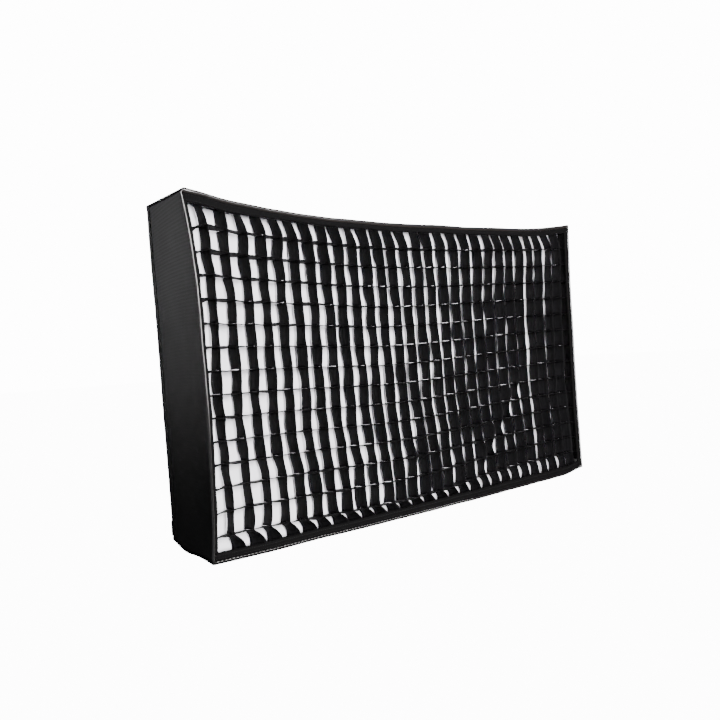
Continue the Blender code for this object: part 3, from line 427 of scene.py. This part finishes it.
# ---------------------------------------------------------------- mesh helpers
def mesh_piece(name, bm, material, body, slot, *nodes, faceted=False, settled=True):
    """Makes a piece from a bmesh, rides it on a body and stands it for CAD nodes."""
    if settled:
        for vertex in bm.verts:
            vertex.co = settle(vertex.co)
    mesh = bpy.data.meshes.new(name)
    bm.to_mesh(mesh)
    bm.free()
    mesh.materials.append(MATERIALS[material])
    if not faceted:
        mesh.shade_smooth()
    item = bpy.data.objects.new(name, mesh)
    bpy.context.scene.collection.objects.link(item)
    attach(item, body)
    if nodes:
        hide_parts(*nodes)
    return item


def thicken(item, thickness):
    modifier = item.modifiers.new("Solidify", "SOLIDIFY")
    modifier.thickness = thickness
    modifier.offset = 0.0
    return item


def spread(low, high, count):
    return [low + (high - low) * n / count for n in range(count + 1)]


def add_grid(bm, across, along, point, skip=lambda i, j: False):
    """A cloth's grid of faces. Point gives a corner's place, and skip leaves a face out."""
    corners = [[bm.verts.new(point(u, v)) for v in along] for u in across]
    for i in range(len(across) - 1):
        for j in range(len(along) - 1):
            if not skip(i, j):
                bm.faces.new((corners[i][j], corners[i + 1][j], corners[i + 1][j + 1], corners[i][j + 1]))
    loose = [vertex for column in corners for vertex in column if not vertex.link_faces]
    bmesh.ops.delete(bm, geom=loose, context="VERTS")


def add_loft(bm, rings, closed_ring=True, closed_run=False):
    """Joins rings of points, each with the same count, into a tube or ribbon."""
    made = [[bm.verts.new(point) for point in ring] for ring in rings]
    count = len(made[0])
    last = len(made) if closed_run else len(made) - 1
    for i in range(last):
        first, second = made[i], made[(i + 1) % len(made)]
        for j in range(count if closed_ring else count - 1):
            k = (j + 1) % count
            bm.faces.new((first[j], first[k], second[k], second[j]))
    if closed_ring and not closed_run:
        bm.faces.new(made[0][::-1])
        bm.faces.new(made[-1])


def add_stitches(bm, run, lift, pitch=0.0040, length=0.0028, width=0.00055):
    """Short raised stitches laid along a run of points, standing on the surface along lift."""
    travelled = [0.0]
    for first, second in zip(run, run[1:]):
        travelled.append(travelled[-1] + (second - first).length)
    at = pitch / 2
    index = 0
    while at < travelled[-1] - length:
        while travelled[index + 1] < at:
            index += 1
        first, second = run[index], run[index + 1]
        along = (second - first).normalized()
        middle = first + along * (at - travelled[index])
        side = along.cross(lift).normalized() * width / 2
        rings = []
        for share, size in ((-0.5, 0.4), (-0.3, 1.0), (0.3, 1.0), (0.5, 0.4)):
            centre = middle + along * length * share + lift * 0.0001
            top = lift * width * 0.55 * size
            rings.append([centre - side * size, centre + side * size, centre + side * size * 0.5 + top,
                          centre - side * size * 0.5 + top])
        add_loft(bm, rings)
        at += pitch


# ---------------------------------------------------------------- the box's slack walls
# (x, z) by which each corner is out of true, at the front and at the rear
FRONT_SHIFTS = {"upper_left": (-0.0040, -0.0020), "lower_left": (0.0024, -0.0034),
                "upper_right": (0.0010, -0.0022), "lower_right": (0.0050, -0.0043)}
REAR_SHIFTS = {"upper_left": (-0.0045, 0.0065), "lower_left": (0.0018, 0.0022),
               "upper_right": (0.0, 0.0), "lower_right": (0.0, 0.0)}
LOW_SAG = 0.0085
LOW_SAG_Y = REAR_Y - 0.057
FRONT_SAG = 0.0115
PUSHED_OUT = 0.0080


def clamp(value, low=0.0, high=1.0):
    return max(low, min(high, value))


def smooth(value, low, high):
    share = clamp((value - low) / (high - low))
    return share * share * (3 - 2 * share)


def settle(point):
    """Moves a point of the cloth box to where it hangs, its corners a few millimetres out of true."""
    right = clamp((point.x / HALF_WIDTH + 1) / 2)
    up = clamp(((point.z - MIDDLE) / HALF_HEIGHT + 1) / 2)
    front = clamp((REAR_Y - point.y) / (REAR_Y - FRONT_Y))
    shift = [0.0, 0.0]
    for share, shifts in ((front, FRONT_SHIFTS), (1 - front, REAR_SHIFTS)):
        for corner, (x, z) in shifts.items():
            weight = share * (right if "right" in corner else 1 - right)
            weight *= up if "upper" in corner else 1 - up
            shift[0] += weight * x
            shift[1] += weight * z
    low = 1 - smooth(up, 0.0, 0.05)
    sag = LOW_SAG * exp(-((point.y - LOW_SAG_Y) / 0.050) ** 2) * low * (1 - smooth(right, 0.0, 0.1))
    run = min(1.0, right / 0.6) ** 0.75 * (1 - 0.8 * smooth(right, 0.92, 1.0))
    sag += FRONT_SAG * front ** 2 * (1 - smooth(up, 0.01, 0.07)) * run
    pushed = PUSHED_OUT * max(0.0, (up - 0.6) / 0.4) ** 2.5 * (1 - smooth(up, 0.990, 1.0))
    shift[0] -= pushed * front ** 3 * (1 - smooth(right, 0.008, 0.03))
    return Vector((point.x + shift[0], point.y, point.z + shift[1] - sag))


def half_length(side):
    return HALF_HEIGHT if SIDES[side][0] == "x" else HALF_WIDTH


def dip(side, along):
    """How far a wall's front edge hangs inward. The top one hangs most on the left."""
    more = 0.0
    if side == "top":
        more = TOP_MORE_LEFT * smooth(along, -0.475, -0.41) * (1 - smooth(along, -0.2, 0.1))
        more -= TOP_LESS_RIGHT * exp(-((along - 0.22) / 0.10) ** 2)
    return SLACK[side] * (1 - min(1.0, abs(along / half_length(side))) ** SLACK_POWER) + more


def front_share(depth_y):
    """1 in the front recess, fading to 0 at the box's rear edge."""
    return min(1.0, max(0.0, (REAR_Y - depth_y) / (REAR_Y - RECESS_Y)))


def wrinkle(side, along, depth_y):
    """Soft unevenness of a stretched panel, none at its corners."""
    edge = 1 - min(1.0, abs(along / half_length(side))) ** 6
    seed = {"left": 3.1, "right": 17.7, "top": 31.3, "bottom": 47.9}[side]
    swell = noise.noise(Vector((along * 9.0, depth_y * 14.0, seed)))
    ripple = noise.noise(Vector((along * 30.0, depth_y * 22.0, seed + 5)))
    return WRINKLE * edge * (swell * 1.2 + ripple * 0.5)


def wall_point(side, along, depth_y, inset):
    axis, sign = SIDES[side]
    inward = inset + dip(side, along) * front_share(depth_y) + wrinkle(side, along, depth_y)
    if axis == "x":
        return Vector((sign * (HALF_WIDTH - inward), depth_y, MIDDLE + along))
    return Vector((along, depth_y, MIDDLE + sign * (HALF_HEIGHT - inward)))


def wall_normal(side):
    axis, sign = SIDES[side]
    return Vector((sign, 0, 0)) if axis == "x" else Vector((0, 0, sign))


def make_walls():
    """The four outer panels and the silver lining inside each."""
    for side, (axis, _) in SIDES.items():
        reach = half_length(side)
        columns = 120 if axis == "z" else 80
        for name, inset, thick, short, material, slot in (
            ("panel", PANEL / 2, PANEL, 0.0004, "panel_" + axis, "black_fabric"),
            ("lining", 0.0016, LINING, 0.0030, "lining_" + axis, "silver_lining"),
        ):
            alongs = spread(-reach + short, reach - short, columns)
            depths = spread(FRONT_Y + 0.0012, REAR_Y, 24)
            bm = bmesh.new()
            add_grid(bm, alongs, depths, lambda u, v: wall_point(side, u, v, inset))
            item = mesh_piece(f"{name}_cloth_{side}", bm, material, "head", slot, f"{name}_{side}")
            thicken(item, thick)


def make_seam_bindings():
    """Folded tape over the four long corner seams, proud at the rear like a trimmed end."""
    width, lift = 0.0042, 0.0007
    bm_threads = bmesh.new()
    for name, side, end in (
        ("upper_left", "left", 1), ("lower_left", "left", -1),
        ("upper_right", "right", 1), ("lower_right", "right", -1),
    ):
        sign = SIDES[side][1]
        rings = []
        seam = []
        for depth_y in spread(FRONT_Y + 0.002, REAR_Y + 0.004, 20):
            corner = Vector((sign * HALF_WIDTH, depth_y, MIDDLE + end * HALF_HEIGHT))
            inward = Vector((-sign, 0, 0))
            down = Vector((0, 0, -end))
            out = -inward * lift
            up = -down * lift
            rings.append([
                corner + out + down * width,
                corner + out + up,
                corner + up + inward * width,
                corner + inward * width,
                corner + inward * 0.0004 + down * 0.0004,
                corner + down * width,
            ])
            seam.append(corner + out + down * width * 0.6)
        bm = bmesh.new()
        add_loft(bm, rings if sign * end > 0 else rings[::-1])
        item = mesh_piece(f"seam_binding_{name}", bm, "hem_upright", "head", "hem_webbing", faceted=True)
        soften(item, 0.0004, 2)
        add_stitches(bm_threads, seam, Vector((sign, 0, 0)))
    mesh_piece("seam_threads", bm_threads, "thread", "head", "hem_webbing")


def soften(item, width, segments=2, angle=0.6):
    modifier = item.modifiers.new("Bevel", "BEVEL")
    modifier.width = width
    modifier.segments = segments
    modifier.limit_method = "ANGLE"
    modifier.angle_limit = angle


# ---------------------------------------------------------------- front edge
def front_loop(insets, depth_y, step=0.012):
    """A closed run round the front opening, at each side's own inset, counterclockwise from the front."""
    run = []
    for side, order in (("bottom", 1), ("right", 1), ("top", -1), ("left", -1)):
        others = {"bottom": ("left", "right"), "right": ("bottom", "top"), "top": ("right", "left"),
                  "left": ("top", "bottom")}[side]
        reach = half_length(side)
        start = -order * (reach - insets[others[0]])
        end = order * (reach - insets[others[1]])
        count = round(2 * reach / step)
        for share in spread(0, 1, count)[:-1]:
            run.append(wall_point(side, start + (end - start) * share, depth_y, insets[side]))
    return run


def tube(bm, run, radius, sides=8, closed=True):
    rings = []
    count = len(run)
    for n, at in enumerate(run):
        before, after = run[(n - 1) % count], run[(n + 1) % count]
        if not closed:
            before, after = run[max(n - 1, 0)], run[min(n + 1, count - 1)]
        along = (after - before).normalized()
        out = along.cross(Vector((0, 1, 0))).normalized()
        ahead = out.cross(along).normalized()
        rings.append([at + (out * cos(2 * pi * k / sides) + ahead * sin(2 * pi * k / sides)) * radius
                      for k in range(sides)])
    add_loft(bm, rings, True, closed)


def make_front_edge():
    insets = {"left": 0.0012, "right": 0.0012, "top": 0.0026, "bottom": 0.0036}
    bm = bmesh.new()
    tube(bm, front_loop(insets, FRONT_Y + 0.0004, 0.005), 0.00085)
    mesh_piece("front_piping_braid", bm, "piping", "head", "piping_grey", "front_piping")
    for side, width in (("top", 0.0062), ("bottom", 0.0058)):
        reach = half_length(side)
        section = [(0.0002, 0.0060), (-0.0006, 0.0030), (-0.0004, 0.0006), (0.0008, -0.0006),
                   (width * 0.5, -0.0009), (width - 0.0006, -0.0005), (width, 0.0006)]
        bm = bmesh.new()
        add_grid(bm, spread(-reach + 0.0006, reach - 0.0006, 110), section,
                 lambda u, v: wall_point(side, u, FRONT_Y + 0.0010 + v[1], v[0]))
        material = {"top": "binding", "bottom": "hem"}[side]
        item = mesh_piece(f"front_binding_{side}", bm, material, "head", "hem_webbing")
        thicken(item, 0.0006)


# ---------------------------------------------------------------- grid
DICE = Random(11)


def jitter(size):
    return DICE.uniform(-size, size)


def belly(row, across):
    """How far a level strip sinks of its own weight, most left of the middle and in the lower rows."""
    free = 0.4 + 0.6 * smooth(row, 0, 5)
    deep = 0.0035 + 0.0040 * smooth(across, -0.45, -0.25)
    last = smooth(row, 11, ROWS - 1) * deep * (1 - smooth(across, -0.05, 0.2))
    middle = BELLY * exp(-((across - BELLY_AT) / BELLY_REACH) ** 2)
    return free * (middle + 0.0045 * smooth(across, -0.1, 0.2)) + last


def row_height(row, across):
    """A level strip's height about the middle. The nearer the top, the more it follows the top's dip."""
    flat = TOP_ROW - ROW_PITCH * row - ROW_SAG * sin(pi * row / (ROWS - 1))
    share = ((flat + HALF_HEIGHT) / (2 * HALF_HEIGHT)) ** 3
    return flat - share * dip("top", across) + share * dip("top", FIRST_COLUMN) - belly(row, across)


def droop(height):
    """How far the free rear edges of the strips hang below the sewn front ones, in the lower half."""
    return DROOP * max(0.0, DROOP_BELOW - height)


def drift(x, height):
    """Sideways drift of the strips' front and rear edges, shared by neighbours, as the sewn cloth hangs."""
    spread_out = max(0.0, (x - 0.03) / 0.40) ** 2
    sag = exp(-((x + 0.02) / 0.20) ** 2) * smooth(height, -0.15, 0.10)
    low = smooth(-height, 0.08, 0.24)
    last = smooth(-height, 0.235, 0.270)
    high = smooth(height, 0.10, 0.24)
    turned = smooth(x, 0.0, 0.25)
    first = exp(-((x - FIRST_COLUMN) / 0.05) ** 2)
    low_end = first * low + exp(-((x - FIRST_COLUMN) / 0.14) ** 2) * last
    edges = []
    for edge in (0, 1):
        share = DRIFT_HIGH_RIGHT[edge] * turned + DRIFT_HIGH_LEFT[edge] * (1 - turned)
        edges.append(DRIFT_REST[edge] + DRIFT_SPREAD[edge] * spread_out + DRIFT_SAG[edge] * sag
                     + DRIFT_LOW[edge] * low * (1 - DRIFT_LAST_LOSS[edge] * last)
                     + high * (share + DRIFT_HIGH_END * first) + DRIFT_LOW_END[edge] * low_end)
    shut = REAR_SHUT * smooth(x, 0.33, 0.42) * (1 + smooth(-height, -0.05, 0.10))
    left = REAR_LEFT * (1 - smooth(x, -0.40, -0.02))
    edges[1] -= shut + left + REAR_SAG * exp(-((x - BELLY_AT) / BELLY_REACH) ** 2)
    return edges


def crease(x, height):
    """Sideways bulge of a strip where the cloth is creased, in a slanting line low on the right."""
    above = height - CREASE_AT[1] - CREASE_SLOPE * (x - CREASE_AT[0])
    if not CREASE_SPAN[0] < x < CREASE_SPAN[1] or abs(above) > ROW_PITCH:
        return 0.0
    return CREASE if above > 0 else -CREASE


def column_x(column):
    return FIRST_COLUMN + COLUMN_PITCH * column


class Upright:
    """One upright strip: where its front and rear edges run, from the bottom hem to the top hem."""

    def __init__(self, column):
        self.x = column_x(column)
        right = column / (COLUMNS - 1)
        low, low_rear = (settle(wall_point("bottom", self.x, depth_y, BAND_INSET)).z - MIDDLE + 0.0008
                         for depth_y in (FRONT_Y, FRONT_Y + GRID_DEPTH))
        self.lift = low_rear - low
        high = settle(wall_point("top", self.x, FRONT_Y, BAND_INSET)).z - MIDDLE - 0.0008
        self.heights = [low] + [row_height(row, self.x) for row in range(ROWS - 1, -1, -1)] + [high]
        self.front, self.rear = [], []
        for height in self.heights:
            front, rear = drift(self.x, height)
            common = jitter(0.0016)
            self.front.append(front + common + jitter(0.0011))
            self.rear.append(rear + common + jitter(0.0014))
        self.front[1] += KNEE[0] + jitter(0.001)
        self.rear[1] += KNEE[1] + jitter(0.001)
        if column in LOOSE:
            self.rear = [rear + LOOSE[column] for rear in self.rear]
        self.front[0] = self.front[1] + CURL[0] - CURL_LESS_RIGHT * right + jitter(0.002)
        self.rear[0] = self.rear[1] + CURL[1] + jitter(0.002)
        pull = TOP_PULL + TOP_PULL_MORE_RIGHT * right
        self.front[-1] -= pull + jitter(0.0040)
        self.rear[-1] -= pull * 0.75 + jitter(0.0040)
        self.bulges = [(jitter(0.0017) + crease(self.x, (low + high) / 2), jitter(0.0020))
                       for low, high in zip(self.heights, self.heights[1:])]
        self.bulges[0] = (0.0040 - 0.0070 * right + jitter(0.001), 0.0020 + 0.0040 * right + jitter(0.001))
        self.swells = [jitter(0.0012) for _ in self.heights[1:]]

    def place(self, level, share):
        """The strip's point at a level, counted in rows with a fraction, and a share of its depth."""
        row = min(int(level), len(self.heights) - 2)
        part = level - row
        ease = part * part * (3 - 2 * part)
        if row == 0:
            ease = part ** 2.2
        if row == 1:
            ease = 1 - (1 - part) ** 3
        height = self.heights[row] * (1 - part) + self.heights[row + 1] * part
        bow = sin(pi * part)
        front = self.front[row] * (1 - ease) + self.front[row + 1] * ease + self.bulges[row][0] * bow
        rear = self.rear[row] * (1 - ease) + self.rear[row + 1] * ease + self.bulges[row][1] * bow
        billow = self.swells[row] * bow * sin(pi * share)
        x = self.x + front * (1 - share) + rear * share + billow
        x = max(-HALF_WIDTH + 0.006, min(HALF_WIDTH - 0.006, x))
        hang = droop(height)
        if row == 0:
            hang = hang * part - self.lift * (1 - part)
        return Vector((x, GRID_FRONT_Y + GRID_DEPTH * share, MIDDLE + height - hang * share))


def make_uprights():
    """The upright strips, each slotted from behind where a level strip passes through it."""
    uprights = [Upright(column) for column in range(COLUMNS)]
    shares = [0.0, 0.12, 0.24, 0.43, 0.62, 0.81, 1.0]
    slot_from = 2
    bm = bmesh.new()
    for upright in uprights:
        levels = []
        slots = set()
        for row in range(len(upright.heights) - 1):
            span = upright.heights[row + 1] - upright.heights[row]
            first = 0.0
            if row:
                likely = 0.35 + 0.50 * smooth(upright.x, -0.25, 0.05) - 0.75 * smooth(upright.x, 0.25, 0.33)
                wide = DICE.random() < likely
                opening = DICE.uniform(0.0006, 0.0014) if wide else DICE.uniform(0.0002, 0.0005)
                first = opening / span
                slots.add(len(levels))
                levels.append(row + 0.0)
            levels += [row + first + (1 - first) * n / 8 for n in range(8)]
        levels.append(float(len(upright.heights) - 1))
        add_grid(bm, levels, shares, upright.place, lambda i, j: i in slots and j >= slot_from)
    item = mesh_piece("grid_uprights", bm, "upright", "grid", "grid_fabric", "grid_upright_strips",
                      settled=False)
    thicken(item, 0.0006)
    return uprights


def make_levels(uprights):
    """The level strips. Each rests in the uprights' slots and is notched in front for them."""
    shares = [0.0, 0.12, 0.24, 0.43, 0.62, 0.81, 1.0]
    bm = bmesh.new()
    for row in range(ROWS):
        level = ROWS - row
        stops = [upright.place(level, 0).x for upright in uprights]
        inset = BAND_INSET + 0.0008
        left, left_rear = (settle(wall_point("left", row_height(row, LEFT_X), depth_y, inset)).x
                           for depth_y in (FRONT_Y, FRONT_Y + GRID_DEPTH))
        right, right_rear = (settle(wall_point("right", row_height(row, RIGHT_X), depth_y, inset)).x
                             for depth_y in (FRONT_Y, FRONT_Y + GRID_DEPTH))
        drop = 0.014 * exp(-row / 1.1) + DICE.uniform(0.001, 0.006)
        ends = [left] + stops + [right]
        heights = [row_height(row, left) - drop] + [row_height(row, x) + jitter(0.0004) for x in stops]
        heights.append(row_height(row, right) - 0.003)
        tilts = [0.004] + [jitter(0.0009) for _ in stops] + [0.0]
        sags = [DICE.uniform(0.0, 0.0012) for _ in ends]
        twists = [jitter(0.0016) for _ in ends]
        steps = []
        notches = set()
        for cell in range(len(ends) - 1):
            if cell:
                notches.add(len(steps))
                steps.append((cell, 0.0))
            width = ends[cell + 1] - ends[cell]
            first = 0.0012 / width if cell else 0.0
            steps += [(cell, first + (1 - first) * n / 6) for n in range(6)]
        steps.append((len(ends) - 2, 1.0))

        def point(step, share):
            cell, part = step
            ease = part * part * (3 - 2 * part)
            before = uprights[cell - 1].place(level, share).x if cell else left + (left_rear - left) * share
            after = right + (right_rear - right) * share
            if cell < COLUMNS:
                after = uprights[cell].place(level, share).x
            x = before * (1 - part) + after * part - 0.0006
            height = heights[cell] * (1 - ease) + heights[cell + 1] * ease
            bow = sin(pi * part)
            tilt = tilts[cell] * (1 - ease) + tilts[cell + 1] * ease + twists[cell] * bow
            height += tilt * (0.5 - share) * 2 - sags[cell] * bow - droop(height) * share
            return Vector((x, GRID_FRONT_Y + GRID_DEPTH * share, MIDDLE + height))

        add_grid(bm, steps, shares, point, lambda i, j: i in notches and j < 2)
    item = mesh_piece("grid_levels", bm, "level", "grid", "grid_fabric", "grid_level_strips", settled=False)
    thicken(item, 0.0008)


def make_grid_band():
    """The band that the strips are sewn to, inside the recess."""
    for side in SIDES:
        reach = half_length(side) - 0.004
        bm = bmesh.new()
        add_grid(bm, spread(-reach, reach, 80), spread(GRID_FRONT_Y, GRID_FRONT_Y + GRID_DEPTH, 5),
                 lambda u, v: wall_point(side, u, v, BAND_INSET + 0.0004))
        item = mesh_piece(f"grid_band_{side}", bm, "band", "grid", "hem_webbing")
        thicken(item, 0.0008)


def make_grid_hems():
    """The hem seen from the front: a folded tape with a rounded inner lip and two rows of stitches."""
    widths = {"left": 0.0050, "right": 0.013, "top": 0.018, "bottom": 0.014}
    starts = {"left": 0.0024, "right": 0.0036, "top": 0.0068, "bottom": 0.0062}
    bm_threads = bmesh.new()
    for side, (axis, _) in SIDES.items():
        inner = 0.0022 + widths[side]
        start = starts[side]
        reach = half_length(side) - (0.003 if axis == "z" else 0.016)
        lip = 0.0012
        section = [(start, 0.0004), (start + 0.001, -0.0002), (inner - 0.002, -0.0004), (inner - 0.0006, 0.0),
                   (inner, lip), (inner + 0.0002, 0.0050)]

        def point(u, v):
            ripple = 0.0011 * noise.noise(Vector((u * 26.0, 7.0, len(side))))
            share = max(0.0, (v[0] - start) / (inner - start))
            if side == "top":
                narrow = smooth(u, -0.46, -0.29) * (0.0055 - 0.0025 * smooth(u, 0.10, 0.45))
                ripple -= narrow
            depth_y = FRONT_Y + 0.0008 + v[1] + abs(ripple) * 0.2 * share
            return wall_point(side, u, depth_y, v[0] + ripple * share)

        alongs = spread(-reach, reach, 140)
        bm = bmesh.new()
        add_grid(bm, alongs, section, point)
        material = "hem" if axis == "z" else "hem_upright"
        item = mesh_piece(f"grid_hem_tape_{side}", bm, material, "grid", "hem_webbing", f"grid_hem_{side}")
        thicken(item, 0.0007)
        if side != "left":
            for at in (start + 0.0022, inner - 0.0026):
                line = [wall_point(side, u, FRONT_Y + 0.0002, at) for u in alongs]
                add_stitches(bm_threads, line, Vector((0, -1, 0)))
    mesh_piece("grid_hem_threads", bm_threads, "thread", "grid", "hem_webbing")
    bm = bmesh.new()
    line = [wall_point("bottom", u, FRONT_Y - 0.0001, 0.0042) for u in spread(-HALF_WIDTH + 0.004, 0.10, 90)]
    add_stitches(bm, line, Vector((0, -1, 0)), 0.0068, 0.0044, 0.0008)
    mesh_piece("front_edge_threads", bm, "pale_thread", "head", "piping_grey")


# ---------------------------------------------------------------- diffuser
def make_diffuser():
    def point(u, v):
        edge = min(HALF_WIDTH - abs(u), HALF_HEIGHT - abs(v))
        slack = min(1.0, max(0.0, edge / 0.08))
        folds = noise.noise(Vector((u * 16.0, 1.5, v * 2.2)))
        folds += 0.4 * noise.noise(Vector((u * 42.0, 4.5, v * 5.0)))
        depth_y = DIFFUSER_Y + 0.0006 + slack * (0.0030 + 0.0026 * folds)
        top = MIDDLE + HALF_HEIGHT - dip("top", u) - 0.0036
        height = MIDDLE - HALF_HEIGHT + 0.0036 + (v + HALF_HEIGHT) / (2 * HALF_HEIGHT) * (
            top - (MIDDLE - HALF_HEIGHT + 0.0036)
        )
        share = (height - MIDDLE) if abs(height - MIDDLE) < HALF_HEIGHT else 0.0
        left = -HALF_WIDTH + 0.0036 + dip("left", share)
        right = HALF_WIDTH - 0.0036 - dip("right", share)
        across = left + (u + HALF_WIDTH) / (2 * HALF_WIDTH) * (right - left)
        return Vector((across, depth_y, height))

    bm = bmesh.new()
    add_grid(bm, spread(-HALF_WIDTH, HALF_WIDTH, 160), spread(-HALF_HEIGHT, HALF_HEIGHT, 72), point)
    item = mesh_piece("diffuser_sheet", bm, "diffuser", "diffuser", "white_diffuser", "diffuser_cloth")
    thicken(item, 0.0005)


# ---------------------------------------------------------------- back and inside
MAT_REAR_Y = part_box("light_mat_back")[1].y
MAT_HALF_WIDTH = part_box("light_mat_back")[1].x
MAT_HALF_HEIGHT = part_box("light_mat_back")[1].z - MIDDLE
FACE_REAR_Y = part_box("light_mat_face")[1].y
FACE_HALF_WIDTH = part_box("light_mat_face")[1].x
FACE_HALF_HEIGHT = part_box("light_mat_face")[1].z - MIDDLE
CHAMFER = 0.060


def make_ring_tape(name, inset, front_y, rear_y, material, body, slot, node, thickness):
    """A tape round the inside of all four walls."""
    def point(u, v):
        return wall_point(side, u, v, inset + 0.0003 * noise.noise(Vector((u * 60, v * 90, 2.0))))

    bm = bmesh.new()
    for side in SIDES:
        reach = half_length(side) - inset - 0.0008
        add_grid(bm, spread(-reach, reach, 90), spread(front_y, rear_y, 6), point)
    item = mesh_piece(name, bm, material, body, slot, node)
    thicken(item, thickness)


def make_rear_hem():
    """Binding folded over the rear edge of the walls and 26 mm in over the mat, mitred and sewn."""
    section = [(-0.0006, REAR_Y - 0.0125), (-0.0009, REAR_Y - 0.006), (-0.0008, REAR_Y + 0.0006),
               (0.0006, HEM_REAR_Y + 0.0002), (0.008, HEM_REAR_Y), (0.024, HEM_REAR_Y - 0.0002),
               (0.026, HEM_REAR_Y - 0.0006)]
    bm = bmesh.new()
    bm_threads = bmesh.new()
    for side in SIDES:
        reach = half_length(side)

        def point(u, v):
            inset, depth_y = v
            ripple = 0.0004 * noise.noise(Vector((u * 40, inset * 100, 9.0)))
            return wall_point(side, u * (reach - max(inset, 0.0)) / reach, depth_y + ripple, inset)

        add_grid(bm, spread(-reach, reach, 90), section, point)
        for inset in (0.0045, 0.0225):
            run = [wall_point(side, u, HEM_REAR_Y + 0.0002, inset)
                   for u in spread(-reach + inset, reach - inset, 60)]
            add_stitches(bm_threads, run, Vector((0, 1, 0)))
    item = mesh_piece("rear_hem_tape", bm, "rear_hem", "head", "hem_webbing", "rear_hem")
    thicken(item, 0.0008)
    mesh_piece("rear_hem_threads", bm_threads, "thread", "head", "hem_webbing")


def make_mat():
    """The light mat: quilted cloth behind, and the white sheet that carries the rows of light."""
    for name, half_width, half_height, chamfer, depth_y, material, slot, node in (
        ("light_mat_back_sheet", MAT_HALF_WIDTH, MAT_HALF_HEIGHT, CHAMFER, MAT_REAR_Y - 0.0007,
         "mat", "mat_fabric", "light_mat_back"),
        ("light_mat_face_sheet", FACE_HALF_WIDTH, FACE_HALF_HEIGHT, CHAMFER - 0.012, FACE_REAR_Y - 0.0006,
         "sheet", "led_sheet", "light_mat_face"),
    ):
        def point(u, v):
            cut = max(0.0, abs(v) - (half_height - chamfer))
            swell = 0.0002 * (1 + noise.noise(Vector((u * 14, v * 14, 1.0))))
            return Vector((u * (half_width - cut) / half_width, depth_y - swell, MIDDLE + v))

        bm = bmesh.new()
        heights = spread(-half_height, half_height, 60)
        for edge in (half_height - chamfer, chamfer - half_height):
            heights[min(range(61), key=lambda n: abs(heights[n] - edge))] = edge
        add_grid(bm, spread(-half_width, half_width, 96), heights, point)
        item = mesh_piece(name, bm, material, "head", slot, node, settled=False)
        thicken(item, 0.0008)
    bm = bmesh.new()
    lift_y = MAT_REAR_Y - 0.0003
    for x in (-0.30, -0.10, 0.10, 0.30):
        run = [Vector((x, lift_y, MIDDLE + z)) for z in spread(-0.262, 0.262, 60)]
        add_stitches(bm, run, Vector((0, 1, 0)))
    for z in (-0.262, 0.262):
        run = [Vector((x, lift_y, MIDDLE + z)) for x in spread(-0.42, 0.42, 80)]
        add_stitches(bm, run, Vector((0, 1, 0)))
    mesh_piece("mat_quilting_threads", bm, "thread", "head", "mat_fabric", settled=False)


def led_tape():
    """Pale tape with a row of yellow-capped chips along its middle."""
    tape = Shader("led_tape", (0.66, 0.66, 0.62), 0.4, 0.0, 0.4)
    x, y, z = tape.axes()
    pitch_z = 2 * FACE_HALF_HEIGHT / 13
    row = tape.math("PINGPONG", tape.math("SUBTRACT", z, MIDDLE + pitch_z / 2), pitch_z / 2)
    chip = tape.math("PINGPONG", x, 0.0083 / 2)
    on_row = tape.ramp(row, 0.0014, 0.0017, 1.0, 0.0)
    on_chip = tape.ramp(chip, 0.0014, 0.0017, 1.0, 0.0)
    both = tape.math("MULTIPLY", on_row, on_chip)
    tape.colour(tape.mix(both, (0.66, 0.66, 0.62), (0.80, 0.52, 0.10)))
    tape.bump(both, 0.0006)
    return tape.material


def dress_nodes():
    """Finishes of the hard pieces, which keep their CAD shape."""
    finishes = {
        "coat": ("stand_receiver", "tilt_knuckle", "hub_", "arm_upper", "arm_lower"),
        "plastic": ("corner_socket", "clamp_knob", "lock_lever", "power_inlet"),
        "rubber": ("clamp_pad", "strut_tip"),
        "steel": ("tilt_bolt", "tilt_washer", "clamp_screw", "lever_screw", "arm_pin", "hub_screw",
                  "hub_spacer"),
        "brass": ("inlet_pin",),
        "fibreglass": ("corner_strut",),
        "led": ("led_array",),
    }
    for finish, starts in finishes.items():
        for name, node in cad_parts.items():
            if name.startswith(starts):
                node.data.materials[0] = MATERIALS[finish]


# ---------------------------------------------------------------- assembly
MATERIALS = make_materials()
MATERIALS["led"] = led_tape()
make_camera()
make_stage()
make_walls()
make_seam_bindings()
make_front_edge()
uprights = make_uprights()
make_levels(uprights)
make_grid_band()
make_grid_hems()
make_diffuser()
make_ring_tape("hook_tape_pile", 0.00255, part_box("hook_tape")[0].y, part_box("hook_tape")[1].y,
               "pile", "head", "hook_tape", "hook_tape", 0.0007)
make_ring_tape("diffuser_band_tape", 0.0037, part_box("diffuser_band")[0].y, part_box("diffuser_band")[1].y,
               "band", "diffuser", "white_diffuser", "diffuser_band", 0.0006)
make_rear_hem()
make_mat()
dress_nodes()
